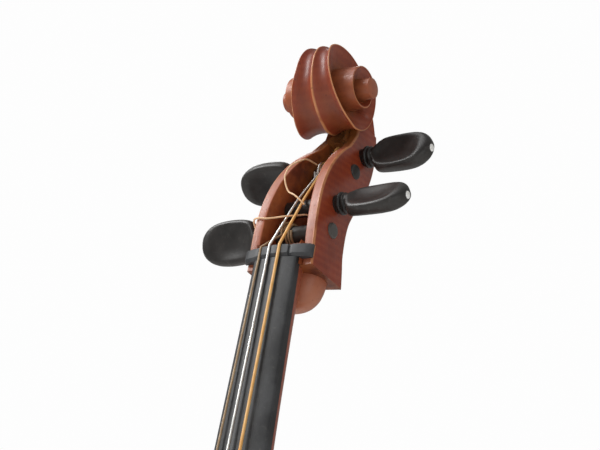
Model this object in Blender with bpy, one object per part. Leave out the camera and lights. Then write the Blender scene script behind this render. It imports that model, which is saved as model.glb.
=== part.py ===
"""A full-size cello with gut-era fittings, built as separate pieces.

World frame: metres, +Z up, the front (strings) faces -Y, the treble side is +X.
The origin is the tip of the endpin, which stands on the floor.
Lengths below are written in metres.
"""
import math

import bmesh
import bpy
from mathutils import Matrix, Vector
from mathutils.bvhtree import BVHTree

GAP = 0.0003                 # clearance left between pieces that touch in real life

# ---- body -------------------------------------------------------------------------------
BODY_LENGTH = 0.755
BODY_BOTTOM = 0.285          # height of the body's lower edge above the floor
LOWER_HALF = 0.220           # half widths of the three bouts
WAIST_HALF = 0.115
UPPER_HALF = 0.170
RIB_HEIGHT = 0.118
RIB_THICKNESS = 0.0018
OVERHANG = 0.0042            # how far the plate edges stand out past the ribs
EDGE_THICKNESS = 0.0048
TOP_ARCH = 0.0215            # rise of the belly above its edge
BACK_ARCH = 0.0205
PLATE_THICKNESS = 0.0046
FLAT_RIM = 0.019             # flat gluing margin inside the plate edge
LINING_HEIGHT = 0.014
LINING_THICKNESS = 0.0024
STOP_LENGTH = 0.400          # upper edge of the body to the bridge

# ---- neck and strings -------------------------------------------------------------------
NECK_TILT = math.radians(9.6)
NECK_LENGTH = 0.280          # nut to the edge of the body
OVERSTAND = 0.022            # fingerboard glue line above the belly edge
BOARD_LENGTH = 0.590
BOARD_HALF_NUT = 0.016       # fingerboard half width at the nut
BOARD_SPREAD = 0.0263        # growth of that half width per unit length
BOARD_SIDE = 0.0055
BOARD_RADIUS = 0.064
BRIDGE_HEIGHT = 0.090
BRIDGE_RADIUS = 0.067
STRING_X_NUT = (-0.0113, -0.0038, 0.0038)
STRING_X_BRIDGE = (-0.0235, -0.0080, 0.0080)
STRING_RADIUS = (0.00075, 0.00095, 0.0010)
LOOSE_RADIUS = 0.0006        # the two broken ends of gut left in the pegbox

# ---- head: u runs along the neck away from the nut, v stands out toward the strings -----
CHEEK_THICKNESS = 0.0076
SHOULDER_U = -0.0038
THROAT_U = 0.118
THROAT_START = 0.104
EYE_U = 0.1389
EYE_V = -0.0227
EYE_HALF = 0.0346
NUT_LENGTH = 0.009
PEG_LENGTH_OUT = 0.0505      # cheek to the end of the peg head
PEG_RADIUS_BIG = 0.0063
PEG_RADIUS_SMALL = 0.0053
COIL_LIFT = 0.00038          # coils stand this far off the peg shaft

# Each peg: name, u, v, side of the handle, turn of the wing about the axis (degrees).
PEGS = (
    ("c", 0.0288, -0.0178, -1, 20.0),
    ("a", 0.0499, -0.0206, 1, -35.0),
    ("g", 0.0857, -0.0405, -1, 50.0),
    ("d", 0.1037, -0.0522, 1, -15.0),
)

# ---- endpin -----------------------------------------------------------------------------
ROD_RADIUS = 0.005
ROD_LENGTH = 0.545
PLUG_RADIUS = 0.0125

FRONT = -RIB_HEIGHT / 2.0    # y of the plane where the belly is glued to the ribs
REAR = RIB_HEIGHT / 2.0
BODY_TOP = BODY_BOTTOM + BODY_LENGTH
BRIDGE_Z = BODY_TOP - STOP_LENGTH
HEEL_FOOT = BODY_TOP - OVERHANG - 0.0085


def material(name, colour, roughness, metallic=0.0):
    """Make one Principled material."""
    mat = bpy.data.materials.new(name)
    mat.use_nodes = True
    shader = mat.node_tree.nodes["Principled BSDF"]
    shader.inputs["Base Color"].default_value = (*colour, 1.0)
    shader.inputs["Roughness"].default_value = roughness
    shader.inputs["Metallic"].default_value = metallic
    return mat


LOOKS = {
    "spruce": ((0.42, 0.17, 0.055), 0.38, 0.0),
    "maple": ((0.27, 0.075, 0.035), 0.36, 0.0),
    "bare_wood": ((0.62, 0.46, 0.28), 0.7, 0.0),
    "ebony": ((0.022, 0.020, 0.020), 0.32, 0.0),
    "bridge_maple": ((0.55, 0.36, 0.17), 0.55, 0.0),
    "pearl": ((0.85, 0.82, 0.76), 0.22, 0.0),
    "silver_string": ((0.62, 0.62, 0.60), 0.35, 1.0),
    "gut_string": ((0.60, 0.42, 0.16), 0.45, 0.0),
    "steel": ((0.55, 0.56, 0.58), 0.28, 1.0),
    "brass": ((0.72, 0.55, 0.26), 0.35, 1.0),
    "rubber": ((0.03, 0.03, 0.03), 0.8, 0.0),
}


# Blocks and strips with plain flat faces keep flat shading.
FLAT_NAMES = ("neck_block", "end_block", "lower_corner_block", "upper_corner_block", "bass_bar")


def make_object(name, verts, faces, look):
    """Turn points and faces into an object with its own material."""
    mesh = bpy.data.meshes.new(name)
    mesh.from_pydata([tuple(p) for p in verts], [], faces)
    mesh.validate()
    obj = bpy.data.objects.new(name, mesh)
    bpy.context.scene.collection.objects.link(obj)
    colour, roughness, metallic = LOOKS[look]
    mesh.materials.append(material(name, colour, roughness, metallic))
    tidy(obj)
    return obj


def tidy(obj):
    """Weld doubled points and face every polygon outward."""
    work = bmesh.new()
    work.from_mesh(obj.data)
    bmesh.ops.remove_doubles(work, verts=work.verts, dist=0.000002)
    bmesh.ops.dissolve_degenerate(work, edges=work.edges, dist=0.000002)
    bmesh.ops.recalc_face_normals(work, faces=work.faces)
    work.to_mesh(obj.data)
    work.free()


def split_faces(obj):
    """Cut every polygon into triangles, so that none is bent."""
    work = bmesh.new()
    work.from_mesh(obj.data)
    bmesh.ops.triangulate(work, faces=work.faces)
    work.to_mesh(obj.data)
    work.free()


def loft(name, sections, look, closed=False):
    """Skin a row of equal-length point loops, with flat ends unless closed."""
    count = len(sections[0])
    verts = [p for loop in sections for p in loop]
    faces = []
    last = len(sections) if closed else len(sections) - 1
    for i in range(last):
        a = i * count
        b = ((i + 1) % len(sections)) * count
        for j in range(count):
            k = (j + 1) % count
            faces.append((a + j, a + k, b + k, b + j))
    if not closed:
        faces.append(tuple(range(count)))
        end = (len(sections) - 1) * count
        faces.append(tuple(range(end, end + count)))
    return make_object(name, verts, faces, look)


def cut(target, cutter, mode="DIFFERENCE", bent=False):
    """Apply one exact Boolean and remove the cutter; bent faces are split first."""
    if bent:
        split_faces(target)
        split_faces(cutter)
    change = target.modifiers.new("cut", "BOOLEAN")
    change.operation = mode
    change.solver = "EXACT"
    change.object = cutter
    bpy.context.view_layer.update()
    graph = bpy.context.evaluated_depsgraph_get()
    result = bpy.data.meshes.new_from_object(target.evaluated_get(graph))
    target.modifiers.clear()
    target.data = result
    keep = result.materials[0]
    result.materials.clear()
    result.materials.append(keep)
    for poly in result.polygons:
        poly.material_index = 0
    bpy.data.objects.remove(cutter)
    tidy(target)


def ring(centre, right, up, a, b, count, start=0.0):
    """An ellipse of points with half sizes a along right and b along up."""
    points = []
    for i in range(count):
        t = start + 2.0 * math.pi * i / count
        points.append(centre + right * (a * math.cos(t)) + up * (b * math.sin(t)))
    return points


def turned(name, profile, origin, axis, side, count, look):
    """A solid of revolution: profile rows are (distance along axis, radius)."""
    other = axis.cross(side)
    loops = [ring(origin + axis * d, side, other, r, r, count) for d, r in profile]
    return loft(name, loops, look)


def cylinder(name, start, end, radius, count, look):
    """A plain rod between two points."""
    axis = (end - start).normalized()
    side = axis.orthogonal().normalized()
    return turned(name, ((0.0, radius), ((end - start).length, radius)), start, axis, side, count, look)


def box(name, x0, x1, y0, y1, z0, z1, look):
    """An axis-aligned block."""
    low = [Vector((x0, y0, z0)), Vector((x1, y0, z0)), Vector((x1, y1, z0)), Vector((x0, y1, z0))]
    high = [p + Vector((0.0, 0.0, z1 - z0)) for p in low]
    return loft(name, [low, high], look)


def smooth_path(points, steps):
    """Catmull-Rom curve through the given points, steps per span."""
    pts = [Vector(p) for p in points]
    pts = [pts[0] * 2.0 - pts[1]] + pts + [pts[-1] * 2.0 - pts[-2]]
    out = []
    for i in range(1, len(pts) - 2):
        p0, p1, p2, p3 = pts[i - 1], pts[i], pts[i + 1], pts[i + 2]
        for k in range(steps):
            t = k / steps
            out.append(0.5 * (2.0 * p1 + (p2 - p0) * t + (2.0 * p0 - 5.0 * p1 + 4.0 * p2 - p3) * t * t
                              + (3.0 * p1 - p0 - 3.0 * p2 + p3) * t * t * t))
    out.append(pts[-2])
    return out


def tube(name, path, radius, sides, look):
    """A round cord swept along a row of points."""
    loops = []
    tangent = (path[1] - path[0]).normalized()
    side = tangent.orthogonal().normalized()
    for i, point in enumerate(path):
        if i == 0:
            ahead = (path[1] - path[0]).normalized()
        elif i == len(path) - 1:
            ahead = (path[-1] - path[-2]).normalized()
        else:
            ahead = (path[i + 1] - path[i - 1]).normalized()
        side = (side - ahead * side.dot(ahead)).normalized()
        loops.append(ring(point, side, ahead.cross(side), radius, radius, sides))
    return loft(name, loops, look)


# ---- body outline -----------------------------------------------------------------------

def flat(points):
    """Give two-number points a third number so they can share the curve helpers."""
    return [(p[0], p[1], 0.0) for p in points]


def outline_right():
    """The three curves of the right-hand edge, bottom to top, as (x, height) pairs."""
    w = LOWER_HALF
    lower = [(0.0, 0.0), (0.34 * w, 0.0035), (0.63 * w, 0.021), (0.86 * w, 0.062), (0.97 * w, 0.115),
             (w, 0.165), (0.970 * w, 0.212), (0.895 * w, 0.250), (0.832 * w, 0.276), (0.850 * w, 0.2935)]
    c = WAIST_HALF
    waist = [(0.186, 0.3055), (0.160, 0.318), (0.138, 0.338), (0.122, 0.368), (c, 0.405),
             (c - 0.0003, 0.435), (0.118, 0.465), (0.126, 0.487), (0.139, 0.500), (0.1535, 0.5065)]
    t = UPPER_HALF
    upper = [(0.1545, 0.5185), (0.1455, 0.530), (0.1455, 0.547), (0.153, 0.575), (0.164, 0.605), (t, 0.640),
             (0.166, 0.675), (0.150, 0.708), (0.120, 0.735), (0.075, 0.750), (0.030, 0.7545), (0.0, 0.755)]
    curves = []
    for points, steps in ((lower, 2), (waist, 1), (upper, 1)):
        curves.append([(p.x, p.y) for p in smooth_path(flat(points), steps)])
    return curves


CURVES = outline_right()
EDGE = CURVES[0] + CURVES[1] + CURVES[2]


def half_width(height):
    """Half width of the plates at a height above the body's lower edge."""
    if height <= 0.0 or height >= BODY_LENGTH:
        return 0.0
    for (x0, z0), (x1, z1) in zip(EDGE[:-1], EDGE[1:]):
        if z0 <= height <= z1 and z1 > z0:
            return x0 + (x1 - x0) * (height - z0) / (z1 - z0)
    return 0.0


ARCH_WIDTHS = [(p.x, p.y) for p in smooth_path(
    [(0.0, 0.150, 0.0), (0.060, 0.192, 0.0), (0.165, 0.216, 0.0), (0.260, 0.168, 0.0), (0.340, 0.124, 0.0),
     (0.420, 0.111, 0.0), (0.480, 0.117, 0.0), (0.550, 0.143, 0.0), (0.640, 0.165, 0.0), (0.715, 0.140, 0.0),
     (BODY_LENGTH, 0.100, 0.0)], 5)]


def arch_width(height):
    """Half width that the arching spans, which takes no notice of the corners."""
    for (z0, w0), (z1, w1) in zip(ARCH_WIDTHS[:-1], ARCH_WIDTHS[1:]):
        if z0 <= height <= z1:
            return w0 + (w1 - w0) * (height - z0) / (z1 - z0)
    return ARCH_WIDTHS[-1][1]


def arch(x, height, rise, margin):
    """Height of an arched surface above its rim, zero inside the flat margin."""
    wide = min(half_width(height), arch_width(height)) - margin
    if wide <= 0.0:
        return 0.0
    s = abs(x) / wide
    end = (height - margin) / (BODY_LENGTH - 2.0 * margin)
    if s >= 1.0 or end <= 0.0 or end >= 1.0:
        return 0.0
    cross = (0.5 * (1.0 + math.cos(math.pi * s))) ** 0.8
    along = (1.0 - abs(2.0 * end - 1.0) ** 2.6) ** 0.9
    return rise * cross * along


def plate_surfaces(x, height, rise):
    """Outer and inner distance of a plate from its gluing plane at one point."""
    outer = EDGE_THICKNESS + arch(x, height, rise, 0.006)
    inner = arch(x, height, rise + EDGE_THICKNESS - PLATE_THICKNESS, FLAT_RIM)
    return outer, min(inner, outer - 0.0042)


def make_plate(name, rise, plane, facing, look):
    """An arched and hollowed plate; facing is -1 for the belly and +1 for the back."""
    shares = (-1.0, -0.91, -0.64, -0.33, 0.0, 0.33, 0.64, 0.91, 1.0)
    rows = [(x, z) for x, z in EDGE if x > 0.001]
    columns = len(shares)
    verts = []
    for surface in (0, 1):
        for wide, height in rows:
            for share in shares:
                x = share * wide
                depth = plate_surfaces(x, height, rise)[0] if surface == 0 else 0.0
                if surface == 1 and abs(share) < 1.0:
                    depth = plate_surfaces(x, height, rise)[1]
                verts.append((x, plane + facing * (depth if surface == 0 else depth + GAP), BODY_BOTTOM + height))
    count = len(rows) * columns
    faces = []
    for surface in (0, 1):
        base = surface * count
        for i in range(len(rows) - 1):
            for j in range(columns - 1):
                a = base + i * columns + j
                faces.append((a, a + 1, a + 1 + columns, a + columns))
    for i in range(len(rows) - 1):
        for j in (0, columns - 1):
            a = i * columns + j
            faces.append((a, a + columns, a + columns + count, a + count))
    for i in (0, len(rows) - 1):
        for j in range(columns - 1):
            a = i * columns + j
            faces.append((a, a + 1, a + 1 + count, a + count))
    return make_object(name, verts, faces, look)


def offset_curve(curve, distance):
    """Move a right-hand edge curve inward by a distance."""
    moved = []
    for i, (x, z) in enumerate(curve):
        before = curve[max(i - 1, 0)]
        after = curve[min(i + 1, len(curve) - 1)]
        dx = after[0] - before[0]
        dz = after[1] - before[1]
        size = math.hypot(dx, dz)
        if x < 0.0005:
            dx, dz, size = (1.0, 0.0, 1.0) if z < 0.1 else (-1.0, 0.0, 1.0)
        moved.append((x - distance * dz / size, z + distance * dx / size))
    return moved


def trimmed(curve, start, end):
    """Shorten a curve by the given lengths at its two ends."""
    points = list(curve)
    for amount, index in ((start, 0), (end, -1)):
        left = amount
        while left > 0.0:
            a = Vector(points[index])
            b = Vector(points[1 if index == 0 else -2])
            size = (b - a).length
            if size > left:
                points[index] = tuple(a + (b - a) * (left / size))
                left = 0.0
            else:
                points.pop(index)
                left -= size
    return points


def strip(name, outer, inner, y0, y1, mirror, look):
    """A bent strip standing between two planes, its faces following two curves."""
    loops = []
    for (xo, zo), (xi, zi) in zip(outer, inner):
        loops.append([Vector((mirror * xo, y0, BODY_BOTTOM + zo)), Vector((mirror * xi, y0, BODY_BOTTOM + zi)),
                      Vector((mirror * xi, y1, BODY_BOTTOM + zi)), Vector((mirror * xo, y1, BODY_BOTTOM + zo))])
    return loft(name, loops, look)


def make_ribs_and_linings():
    """Six ribs and the twelve lining strips glued inside them."""
    outer_gap = OVERHANG
    pieces = {}
    for label, curve, ends in (("lower", CURVES[0], (0.0002, 0.0068)), ("centre", CURVES[1], (0.0068, 0.0068)),
                               ("upper", CURVES[2], (0.0068, 0.0100))):
        short = trimmed(curve, *ends)
        outer = offset_curve(short, outer_gap)
        inner = offset_curve(short, outer_gap + RIB_THICKNESS)
        lining = trimmed(short, 0.048 if label == "lower" else 0.030, 0.062 if label == "upper" else 0.030)
        lining_out = offset_curve(lining, outer_gap + RIB_THICKNESS + GAP)
        lining_in = offset_curve(lining, outer_gap + RIB_THICKNESS + GAP + LINING_THICKNESS)
        for side, mirror in (("bass", -1), ("treble", 1)):
            pieces[(label, side)] = strip(f"{label}_rib_{side}", outer, inner, FRONT + GAP, REAR - GAP, mirror, "maple")
            strip(f"{label}_lining_{side}_front", lining_out, lining_in, FRONT + GAP, FRONT + LINING_HEIGHT, mirror,
                  "bare_wood")
            strip(f"{label}_lining_{side}_back", lining_out, lining_in, REAR - LINING_HEIGHT, REAR - GAP, mirror,
                  "bare_wood")
    return pieces


def make_corner_block(name, curve_a, curve_b, mirror):
    """A block filling the angle between two ribs; both curves start at the corner."""
    polygon = curve_a[::-1] + curve_b
    low = [Vector((mirror * x, FRONT + GAP, BODY_BOTTOM + z)) for x, z in polygon]
    high = [Vector((p.x, REAR - GAP, p.z)) for p in low]
    return loft(name, [low, high], "bare_wood")


def corner_side(curve, at_end, length, distance):
    """Points of a rib's inner face near a corner, starting at the corner."""
    whole = trimmed(curve, 0.0, 0.0078) if at_end else trimmed(curve, 0.0078, 0.0)
    moved = offset_curve(whole, distance)
    if at_end:
        moved = moved[::-1]
    kept = [moved[0]]
    total = 0.0
    for a, b in zip(moved[:-1], moved[1:]):
        step = math.hypot(b[0] - a[0], b[1] - a[1])
        if total + step >= length:
            share = (length - total) / step
            kept.append((a[0] + (b[0] - a[0]) * share, a[1] + (b[1] - a[1]) * share))
            break
        kept.append(b)
        total += step
    return kept


def make_blocks():
    """Four corner blocks, the neck block and the end block."""
    inset = OVERHANG + RIB_THICKNESS + GAP
    for side, mirror in (("bass", -1), ("treble", 1)):
        make_corner_block(f"lower_corner_block_{side}", corner_side(CURVES[0], True, 0.026, inset),
                          corner_side(CURVES[1], False, 0.026, inset), mirror)
        make_corner_block(f"upper_corner_block_{side}", corner_side(CURVES[1], True, 0.026, inset),
                          corner_side(CURVES[2], False, 0.026, inset), mirror)
    neck_block = end_piece("neck_block", CURVES[2], True, 0.055, 0.042, inset)
    end_block = end_piece("end_block", CURVES[0], False, 0.045, 0.036, inset)
    return neck_block, end_block


def end_piece(name, curve, at_top, half, depth, inset):
    """A block behind the ribs at the top or the bottom of the body."""
    moved = offset_curve(curve, inset)
    if at_top:
        moved = moved[::-1]
    side = []
    for a, b in zip(moved[:-1], moved[1:]):
        side.append(a)
        if b[0] >= half:
            share = (half - a[0]) / (b[0] - a[0])
            side.append((half, a[1] + (b[1] - a[1]) * share))
            break
    far = side[0][1] - depth if at_top else side[0][1] + depth
    right = side[1:]
    polygon = [(-x, z) for x, z in right[::-1]] + [side[0]] + right + [(half - 0.004, far), (-half + 0.004, far)]
    low = [Vector((x, FRONT + GAP, BODY_BOTTOM + z)) for x, z in polygon]
    high = [Vector((p.x, REAR - GAP, p.z)) for p in low]
    return loft(name, [low, high], "bare_wood")


# ---- sound holes ------------------------------------------------------------------------

def hole_path(mirror):
    """Centre line of one sound hole, upper eye to lower eye, as (x, height)."""
    z = STOP_LENGTH
    base = BODY_LENGTH - z
    points = [(0.0505, base + 0.0615), (0.0555, base + 0.0690), (0.0625, base + 0.0690), (0.0670, base + 0.0570),
              (0.0705, base + 0.0320), (0.0745, base), (0.0790, base - 0.0320), (0.0835, base - 0.0560),
              (0.0895, base - 0.0650), (0.0970, base - 0.0620), (0.1005, base - 0.0520)]
    return [(mirror * p.x, p.y) for p in smooth_path(flat(points), 2)]


def cut_sound_hole(plate, mirror):
    """Pierce one S-shaped hole with its two round eyes."""
    path = hole_path(mirror)
    count = len(path)
    left = []
    right = []
    for i, (x, z) in enumerate(path):
        a = path[max(i - 1, 0)]
        b = path[min(i + 1, count - 1)]
        dx = b[0] - a[0]
        dz = b[1] - a[1]
        size = math.hypot(dx, dz)
        share = i / (count - 1)
        half = 0.0016 + 0.0022 * math.sin(math.pi * share)
        left.append((x - half * dz / size, z + half * dx / size))
        right.append((x + half * dz / size, z - half * dx / size))
    polygon = left + right[::-1]
    low = [Vector((x, FRONT - 0.05, BODY_BOTTOM + z)) for x, z in polygon]
    high = [Vector((p.x, FRONT + 0.01, p.z)) for p in low]
    slot = loft("slot_cutter", [low, high], "ebony")
    base = BODY_LENGTH - STOP_LENGTH
    for x, z, radius in ((0.0490, base + 0.0585, 0.0058), (0.1000, base - 0.0455, 0.0076)):
        centre = Vector((mirror * x, FRONT - 0.05, BODY_BOTTOM + z))
        cut(slot, cylinder("eye_cutter", centre, centre + Vector((0.0, 0.06, 0.0)), radius, 14, "ebony"), "UNION")
    cut(plate, slot, bent=True)


# ---- neck, head and scroll --------------------------------------------------------------

ALONG = Vector((0.0, math.sin(NECK_TILT), math.cos(NECK_TILT)))
OUT = Vector((0.0, -math.cos(NECK_TILT), math.sin(NECK_TILT)))
NECK_FOOT = Vector((0.0, FRONT - EDGE_THICKNESS - OVERSTAND, BODY_TOP))
NUT_POINT = NECK_FOOT + ALONG * NECK_LENGTH


def head(x, u, v):
    """World position of a point given in the head's own directions."""
    return NUT_POINT + Vector((x, 0.0, 0.0)) + ALONG * u + OUT * v


def cheek_half(u):
    """Half width of the pegbox at u."""
    t = u / 0.110
    return 0.5 * (0.04997 + (0.02951 - 0.04997) * t + 0.01776 * t * (1.0 - t))


def front_edge(u):
    """v of the front edge of the cheeks, straight where they run into the throat."""
    t = min(u, THROAT_START) / 0.1
    return 0.011 * t - 0.0089 * t ** 2 - 0.0328 * t ** 3 - 0.68 * max(0.0, u - THROAT_START)


BACK_LINE = ((-0.0038, -0.0388), (0.008, -0.0368), (0.0167, -0.0352), (0.0289, -0.0355), (0.0391, -0.0371),
             (0.048, -0.0404), (0.065, -0.0500), (0.082, -0.0595), (0.0932, -0.0645), (0.104, -0.0681),
             (0.1135, -0.0700), (0.1224, -0.0706), (0.130, -0.0688))


def back_edge(u):
    """v of the back of the pegbox at u."""
    for (u0, v0), (u1, v1) in zip(BACK_LINE[:-1], BACK_LINE[1:]):
        if u0 <= u <= u1:
            return v0 + (v1 - v0) * (u - u0) / (u1 - u0)
    return BACK_LINE[0][1] if u < BACK_LINE[0][0] else BACK_LINE[-1][1]


# Scroll: the carved edge runs inward turn by turn. Rows are (degrees, radius, half width);
# degrees count back from the front: 180 is the back, 90 the top, 0 the front, -90 underneath.
SPIRAL = (
    (204, 0.0530, 0.0127), (192, 0.0462, 0.0121), (180, 0.0408, 0.0117), (168, 0.0372, 0.0112),
    (150, 0.0353, 0.0107), (130, 0.0343, 0.0101), (108, 0.0335, 0.0096), (85, 0.0336, 0.0094), (65, 0.0340, 0.0096),
    (48, 0.0338, 0.0102), (32, 0.0312, 0.0117), (14, 0.0273, 0.0132), (-6, 0.0248, 0.0153), (-26, 0.0232, 0.0170),
    (-46, 0.0224, 0.0184), (-64, 0.0229, 0.0196), (-83, 0.0245, 0.0210), (-101, 0.0270, 0.0218),
    (-120, 0.0276, 0.0223), (-140, 0.0262, 0.0226), (-160, 0.0241, 0.0230), (-180, 0.0222, 0.0236),
    (-225, 0.0195, 0.0250), (-270, 0.0172, 0.0260), (-315, 0.0161, 0.0264), (-360, 0.0152, 0.0267),
    (-405, 0.0144, 0.0269), (-450, 0.0135, 0.0271), (-500, 0.0118, 0.0273), (-546, 0.0095, 0.0275),
    (-549, 0.0070, 0.0342), (-920, 0.0070, 0.0342),
)
SPIRAL_END = -546.0          # where the edge runs into the side of the round eye


def spiral_at(degrees):
    """Radius and half width of the carved edge at an angle."""
    for (a0, r0, w0), (a1, r1, w1) in zip(SPIRAL[:-1], SPIRAL[1:]):
        if a1 <= degrees <= a0:
            share = (a0 - degrees) / (a0 - a1)
            return r0 + (r1 - r0) * share, w0 + (w1 - w0) * share
    return SPIRAL[-1][1:]


def scroll_point(degrees, radius, x):
    """World position in the scroll's own polar directions."""
    angle = math.radians(degrees)
    return head(x, EYE_U + radius * math.sin(angle), EYE_V + radius * math.cos(angle))


def make_scroll(per_turn):
    """The carved volute with two flutes along its outer face, as one closed skin."""
    first = 204.0
    step = 360.0 / per_turn
    start = int(round((first - SPIRAL_END) / step))
    total = start + per_turn
    verts = []
    faces = []
    ridge = {}
    groove = {}
    for side in (1, -1):
        for i in range(total + 1):
            radius, wide = spiral_at(first - i * step)
            ridge[(side, i)] = len(verts)
            verts.append(scroll_point(first - i * step, radius, side * wide))
        for i in range(start + 1):
            radius, wide = spiral_at(first - i * step)
            inner_radius, inner_wide = spiral_at(first - (i + per_turn) * step)
            floor = min(0.64 * wide + 0.0005, 0.7 * inner_wide)
            if wide > 0.0228:
                floor = wide - 0.0035
            groove[(side, i)] = len(verts)
            verts.append(scroll_point(first - i * step, min(inner_radius + 0.0008, radius - 0.0012), side * floor))
    flute = {}
    for i in range(per_turn + 1):
        radius, wide = spiral_at(first - i * step)
        for key, share, depth in (("left", -0.5, 0.0022), ("mid", 0.0, -0.0002), ("right", 0.5, 0.0022)):
            flute[(key, i)] = len(verts)
            verts.append(scroll_point(first - i * step, radius - depth, share * wide))
    for side in (1, -1):
        for i in range(start):
            faces.append((ridge[side, i], ridge[side, i + 1], groove[side, i + 1], groove[side, i]))
            faces.append((groove[side, i], groove[side, i + 1], ridge[side, i + 1 + per_turn], ridge[side, i + per_turn]))
        centre = len(verts)
        verts.append(scroll_point(0.0, 0.0, side * EYE_HALF))
        for i in range(start + 1, total):
            faces.append((ridge[side, i], ridge[side, i + 1], centre))
        faces.append((ridge[side, total], ridge[side, start + 1], centre))
        faces.append((ridge[side, start], ridge[side, start + 1], ridge[side, total], groove[side, start]))
    for i in range(per_turn):
        row = [ridge[-1, i], flute["left", i], flute["mid", i], flute["right", i], ridge[1, i]]
        after = [ridge[-1, i + 1], flute["left", i + 1], flute["mid", i + 1], flute["right", i + 1], ridge[1, i + 1]]
        for j in range(4):
            faces.append((row[j], row[j + 1], after[j + 1], after[j]))
    n = per_turn
    faces.append((ridge[-1, 0], flute["left", 0], flute["mid", 0], flute["right", 0], ridge[1, 0], groove[1, 0],
                  ridge[1, n], flute["right", n], flute["mid", n], flute["left", n], ridge[-1, n], groove[-1, 0]))
    return make_object("scroll_part", verts, faces, "maple")


def make_pegbox():
    """The solid pegbox, shoulders to throat, with the fluted back."""
    sections = []
    seat = NUT_LENGTH + GAP
    for u in (SHOULDER_U, seat, seat + GAP, 0.022, 0.035, 0.048, 0.062, 0.076, 0.090, 0.103, THROAT_U):
        half = cheek_half(u)
        back = back_edge(u)
        front = front_edge(u) if u > seat else 0.0
        sections.append([head(half, u, front), head(half, u, back), head(0.5 * half, u, back + 0.0018),
                         head(0.0, u, back - 0.0004), head(-0.5 * half, u, back + 0.0018), head(-half, u, back),
                         head(-half, u, front)])
    tip = 0.1275
    half = cheek_half(0.120)
    sections.append([head(half, tip, -0.0500), head(half, tip, -0.0655), head(0.5 * half, tip, -0.0640),
                     head(0.0, tip, -0.0665), head(-0.5 * half, tip, -0.0640), head(-half, tip, -0.0655),
                     head(-half, tip, -0.0500)])
    return loft("pegbox_part", sections, "maple")


def make_chin():
    """The rounded foot of the pegbox behind the neck."""
    sections = []
    low = -0.0250
    high = 0.012
    for share in (0.02, 0.10, 0.22, 0.38, 0.56, 0.76, 1.0):
        u = low + (high - low) * share
        bulge = math.sqrt(max(0.0, 1.0 - (1.0 - share) ** 2.2))
        half = 0.0235 * bulge
        back = -0.0295 - 0.0095 * math.sqrt(max(0.0, 1.0 - (1.0 - share) ** 3.0)) + 0.0018 * share
        sections.append([head(half * 0.9, u, -0.0105), head(half, u, back + 0.004), head(half * 0.82, u, back),
                         head(0.0, u, back - 0.001), head(-half * 0.82, u, back), head(-half, u, back + 0.004),
                         head(-half * 0.9, u, -0.0105)])
    return loft("chin_part", sections, "maple")


def neck_section(s, depth, narrowing):
    """One slice of the neck at distance s below the nut, depth behind the glue plane."""
    half = BOARD_HALF_NUT + BOARD_SPREAD * s - narrowing
    loop = [head(half, -s, 0.0)]
    steps = 8
    for i in range(steps + 1):
        t = math.pi * i / steps
        loop.append(head(half * math.cos(t), -s, -0.0015 - (depth - 0.0015) * math.sin(t)))
    loop.append(head(-half, -s, 0.0))
    return loop


def make_neck():
    """Handle and heel, running from the pegbox into the body."""
    sections = []
    for s, depth, narrowing in ((-0.006, 0.0215, 0.0), (0.012, 0.0200, 0.0003), (0.050, 0.0195, 0.0008),
                                (0.120, 0.0200, 0.0012), (0.190, 0.0215, 0.0009), (0.222, 0.0245, 0.0004)):
        sections.append(neck_section(s, depth, narrowing))
    for z, rear, low_half in ((BODY_TOP + 0.040, 0.0020, 0.0150), (BODY_TOP + 0.026, 0.0260, 0.0140),
                              (BODY_TOP + 0.012, 0.0470, 0.0138), (BODY_TOP + 0.001, REAR - 0.0008, 0.0146),
                              (HEEL_FOOT, REAR - 0.0008, 0.0146)):
        sections.append(heel_section(z, rear, low_half, 0.0))
    return loft("neck_and_scroll", sections, "maple")


def heel_section(z, rear, low_half, extra):
    """A level slice through the heel, from the fingerboard side back to y = rear."""
    s = (NUT_POINT.z - z) / math.cos(NECK_TILT)
    wide = BOARD_HALF_NUT + BOARD_SPREAD * s + extra
    front = head(0.0, -s, 0.0).y - extra
    loop = [Vector((wide, front, z))]
    steps = 8
    for i in range(steps + 1):
        t = math.pi * i / steps
        c = math.cos(t)
        reach = math.sin(t) ** 0.75
        y = front + 0.0035 + (rear - front - 0.0035) * reach
        share = wide + (low_half + extra - wide) * min(1.0, reach * 0.9)
        loop.append(Vector((math.copysign(abs(c) ** 0.45, c) * share, y, z)))
    loop.append(Vector((-wide, front, z)))
    return loop


def cut_mortise(pieces):
    """Let the foot of the neck into the belly edge, the upper ribs and the neck block."""
    for piece in pieces:
        rows = [heel_section(HEEL_FOOT - GAP, REAR + 0.0002, 0.0146, GAP),
                heel_section(BODY_TOP + 0.004, REAR + 0.0002, 0.0146, GAP)]
        cut(piece, loft("mortise_cutter", rows, "ebony"))


def carve_pegbox(neck):
    """Hollow the pegbox, and ream the four tapered peg holes."""
    sections = []
    for u in (0.0125, 0.016, 0.030, 0.045, 0.060, 0.075, 0.090, 0.103, 0.111, 0.1152):
        half = cheek_half(u) - CHEEK_THICKNESS
        floor = back_edge(u) + 0.0085
        if u < 0.014:
            floor = -0.020
        if u > 0.085:
            floor -= 0.0024
        if u > 0.114:
            floor = -0.0560
        top = 0.02
        if u > 0.105:
            top = -0.030 if u < 0.114 else -0.038
        sections.append([head(half, u, top), head(half, u, floor + 0.003), head(half - 0.003, u, floor),
                         head(-half + 0.003, u, floor), head(-half, u, floor + 0.003), head(-half, u, top)])
    cut(neck, loft("cavity_cutter", sections, "ebony"))
    for _, u, v, side, _ in PEGS:
        start = head(side * 0.040, u, v)
        axis = Vector((-side, 0.0, 0.0))
        big = peg_radius(0.040, u) + GAP
        small = peg_radius(-0.040, u) + GAP
        cut(neck, turned("ream", ((0.0, big), (0.080, small)), start, axis, Vector((0.0, 0.0, 1.0)), 20, "ebony"))


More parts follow.
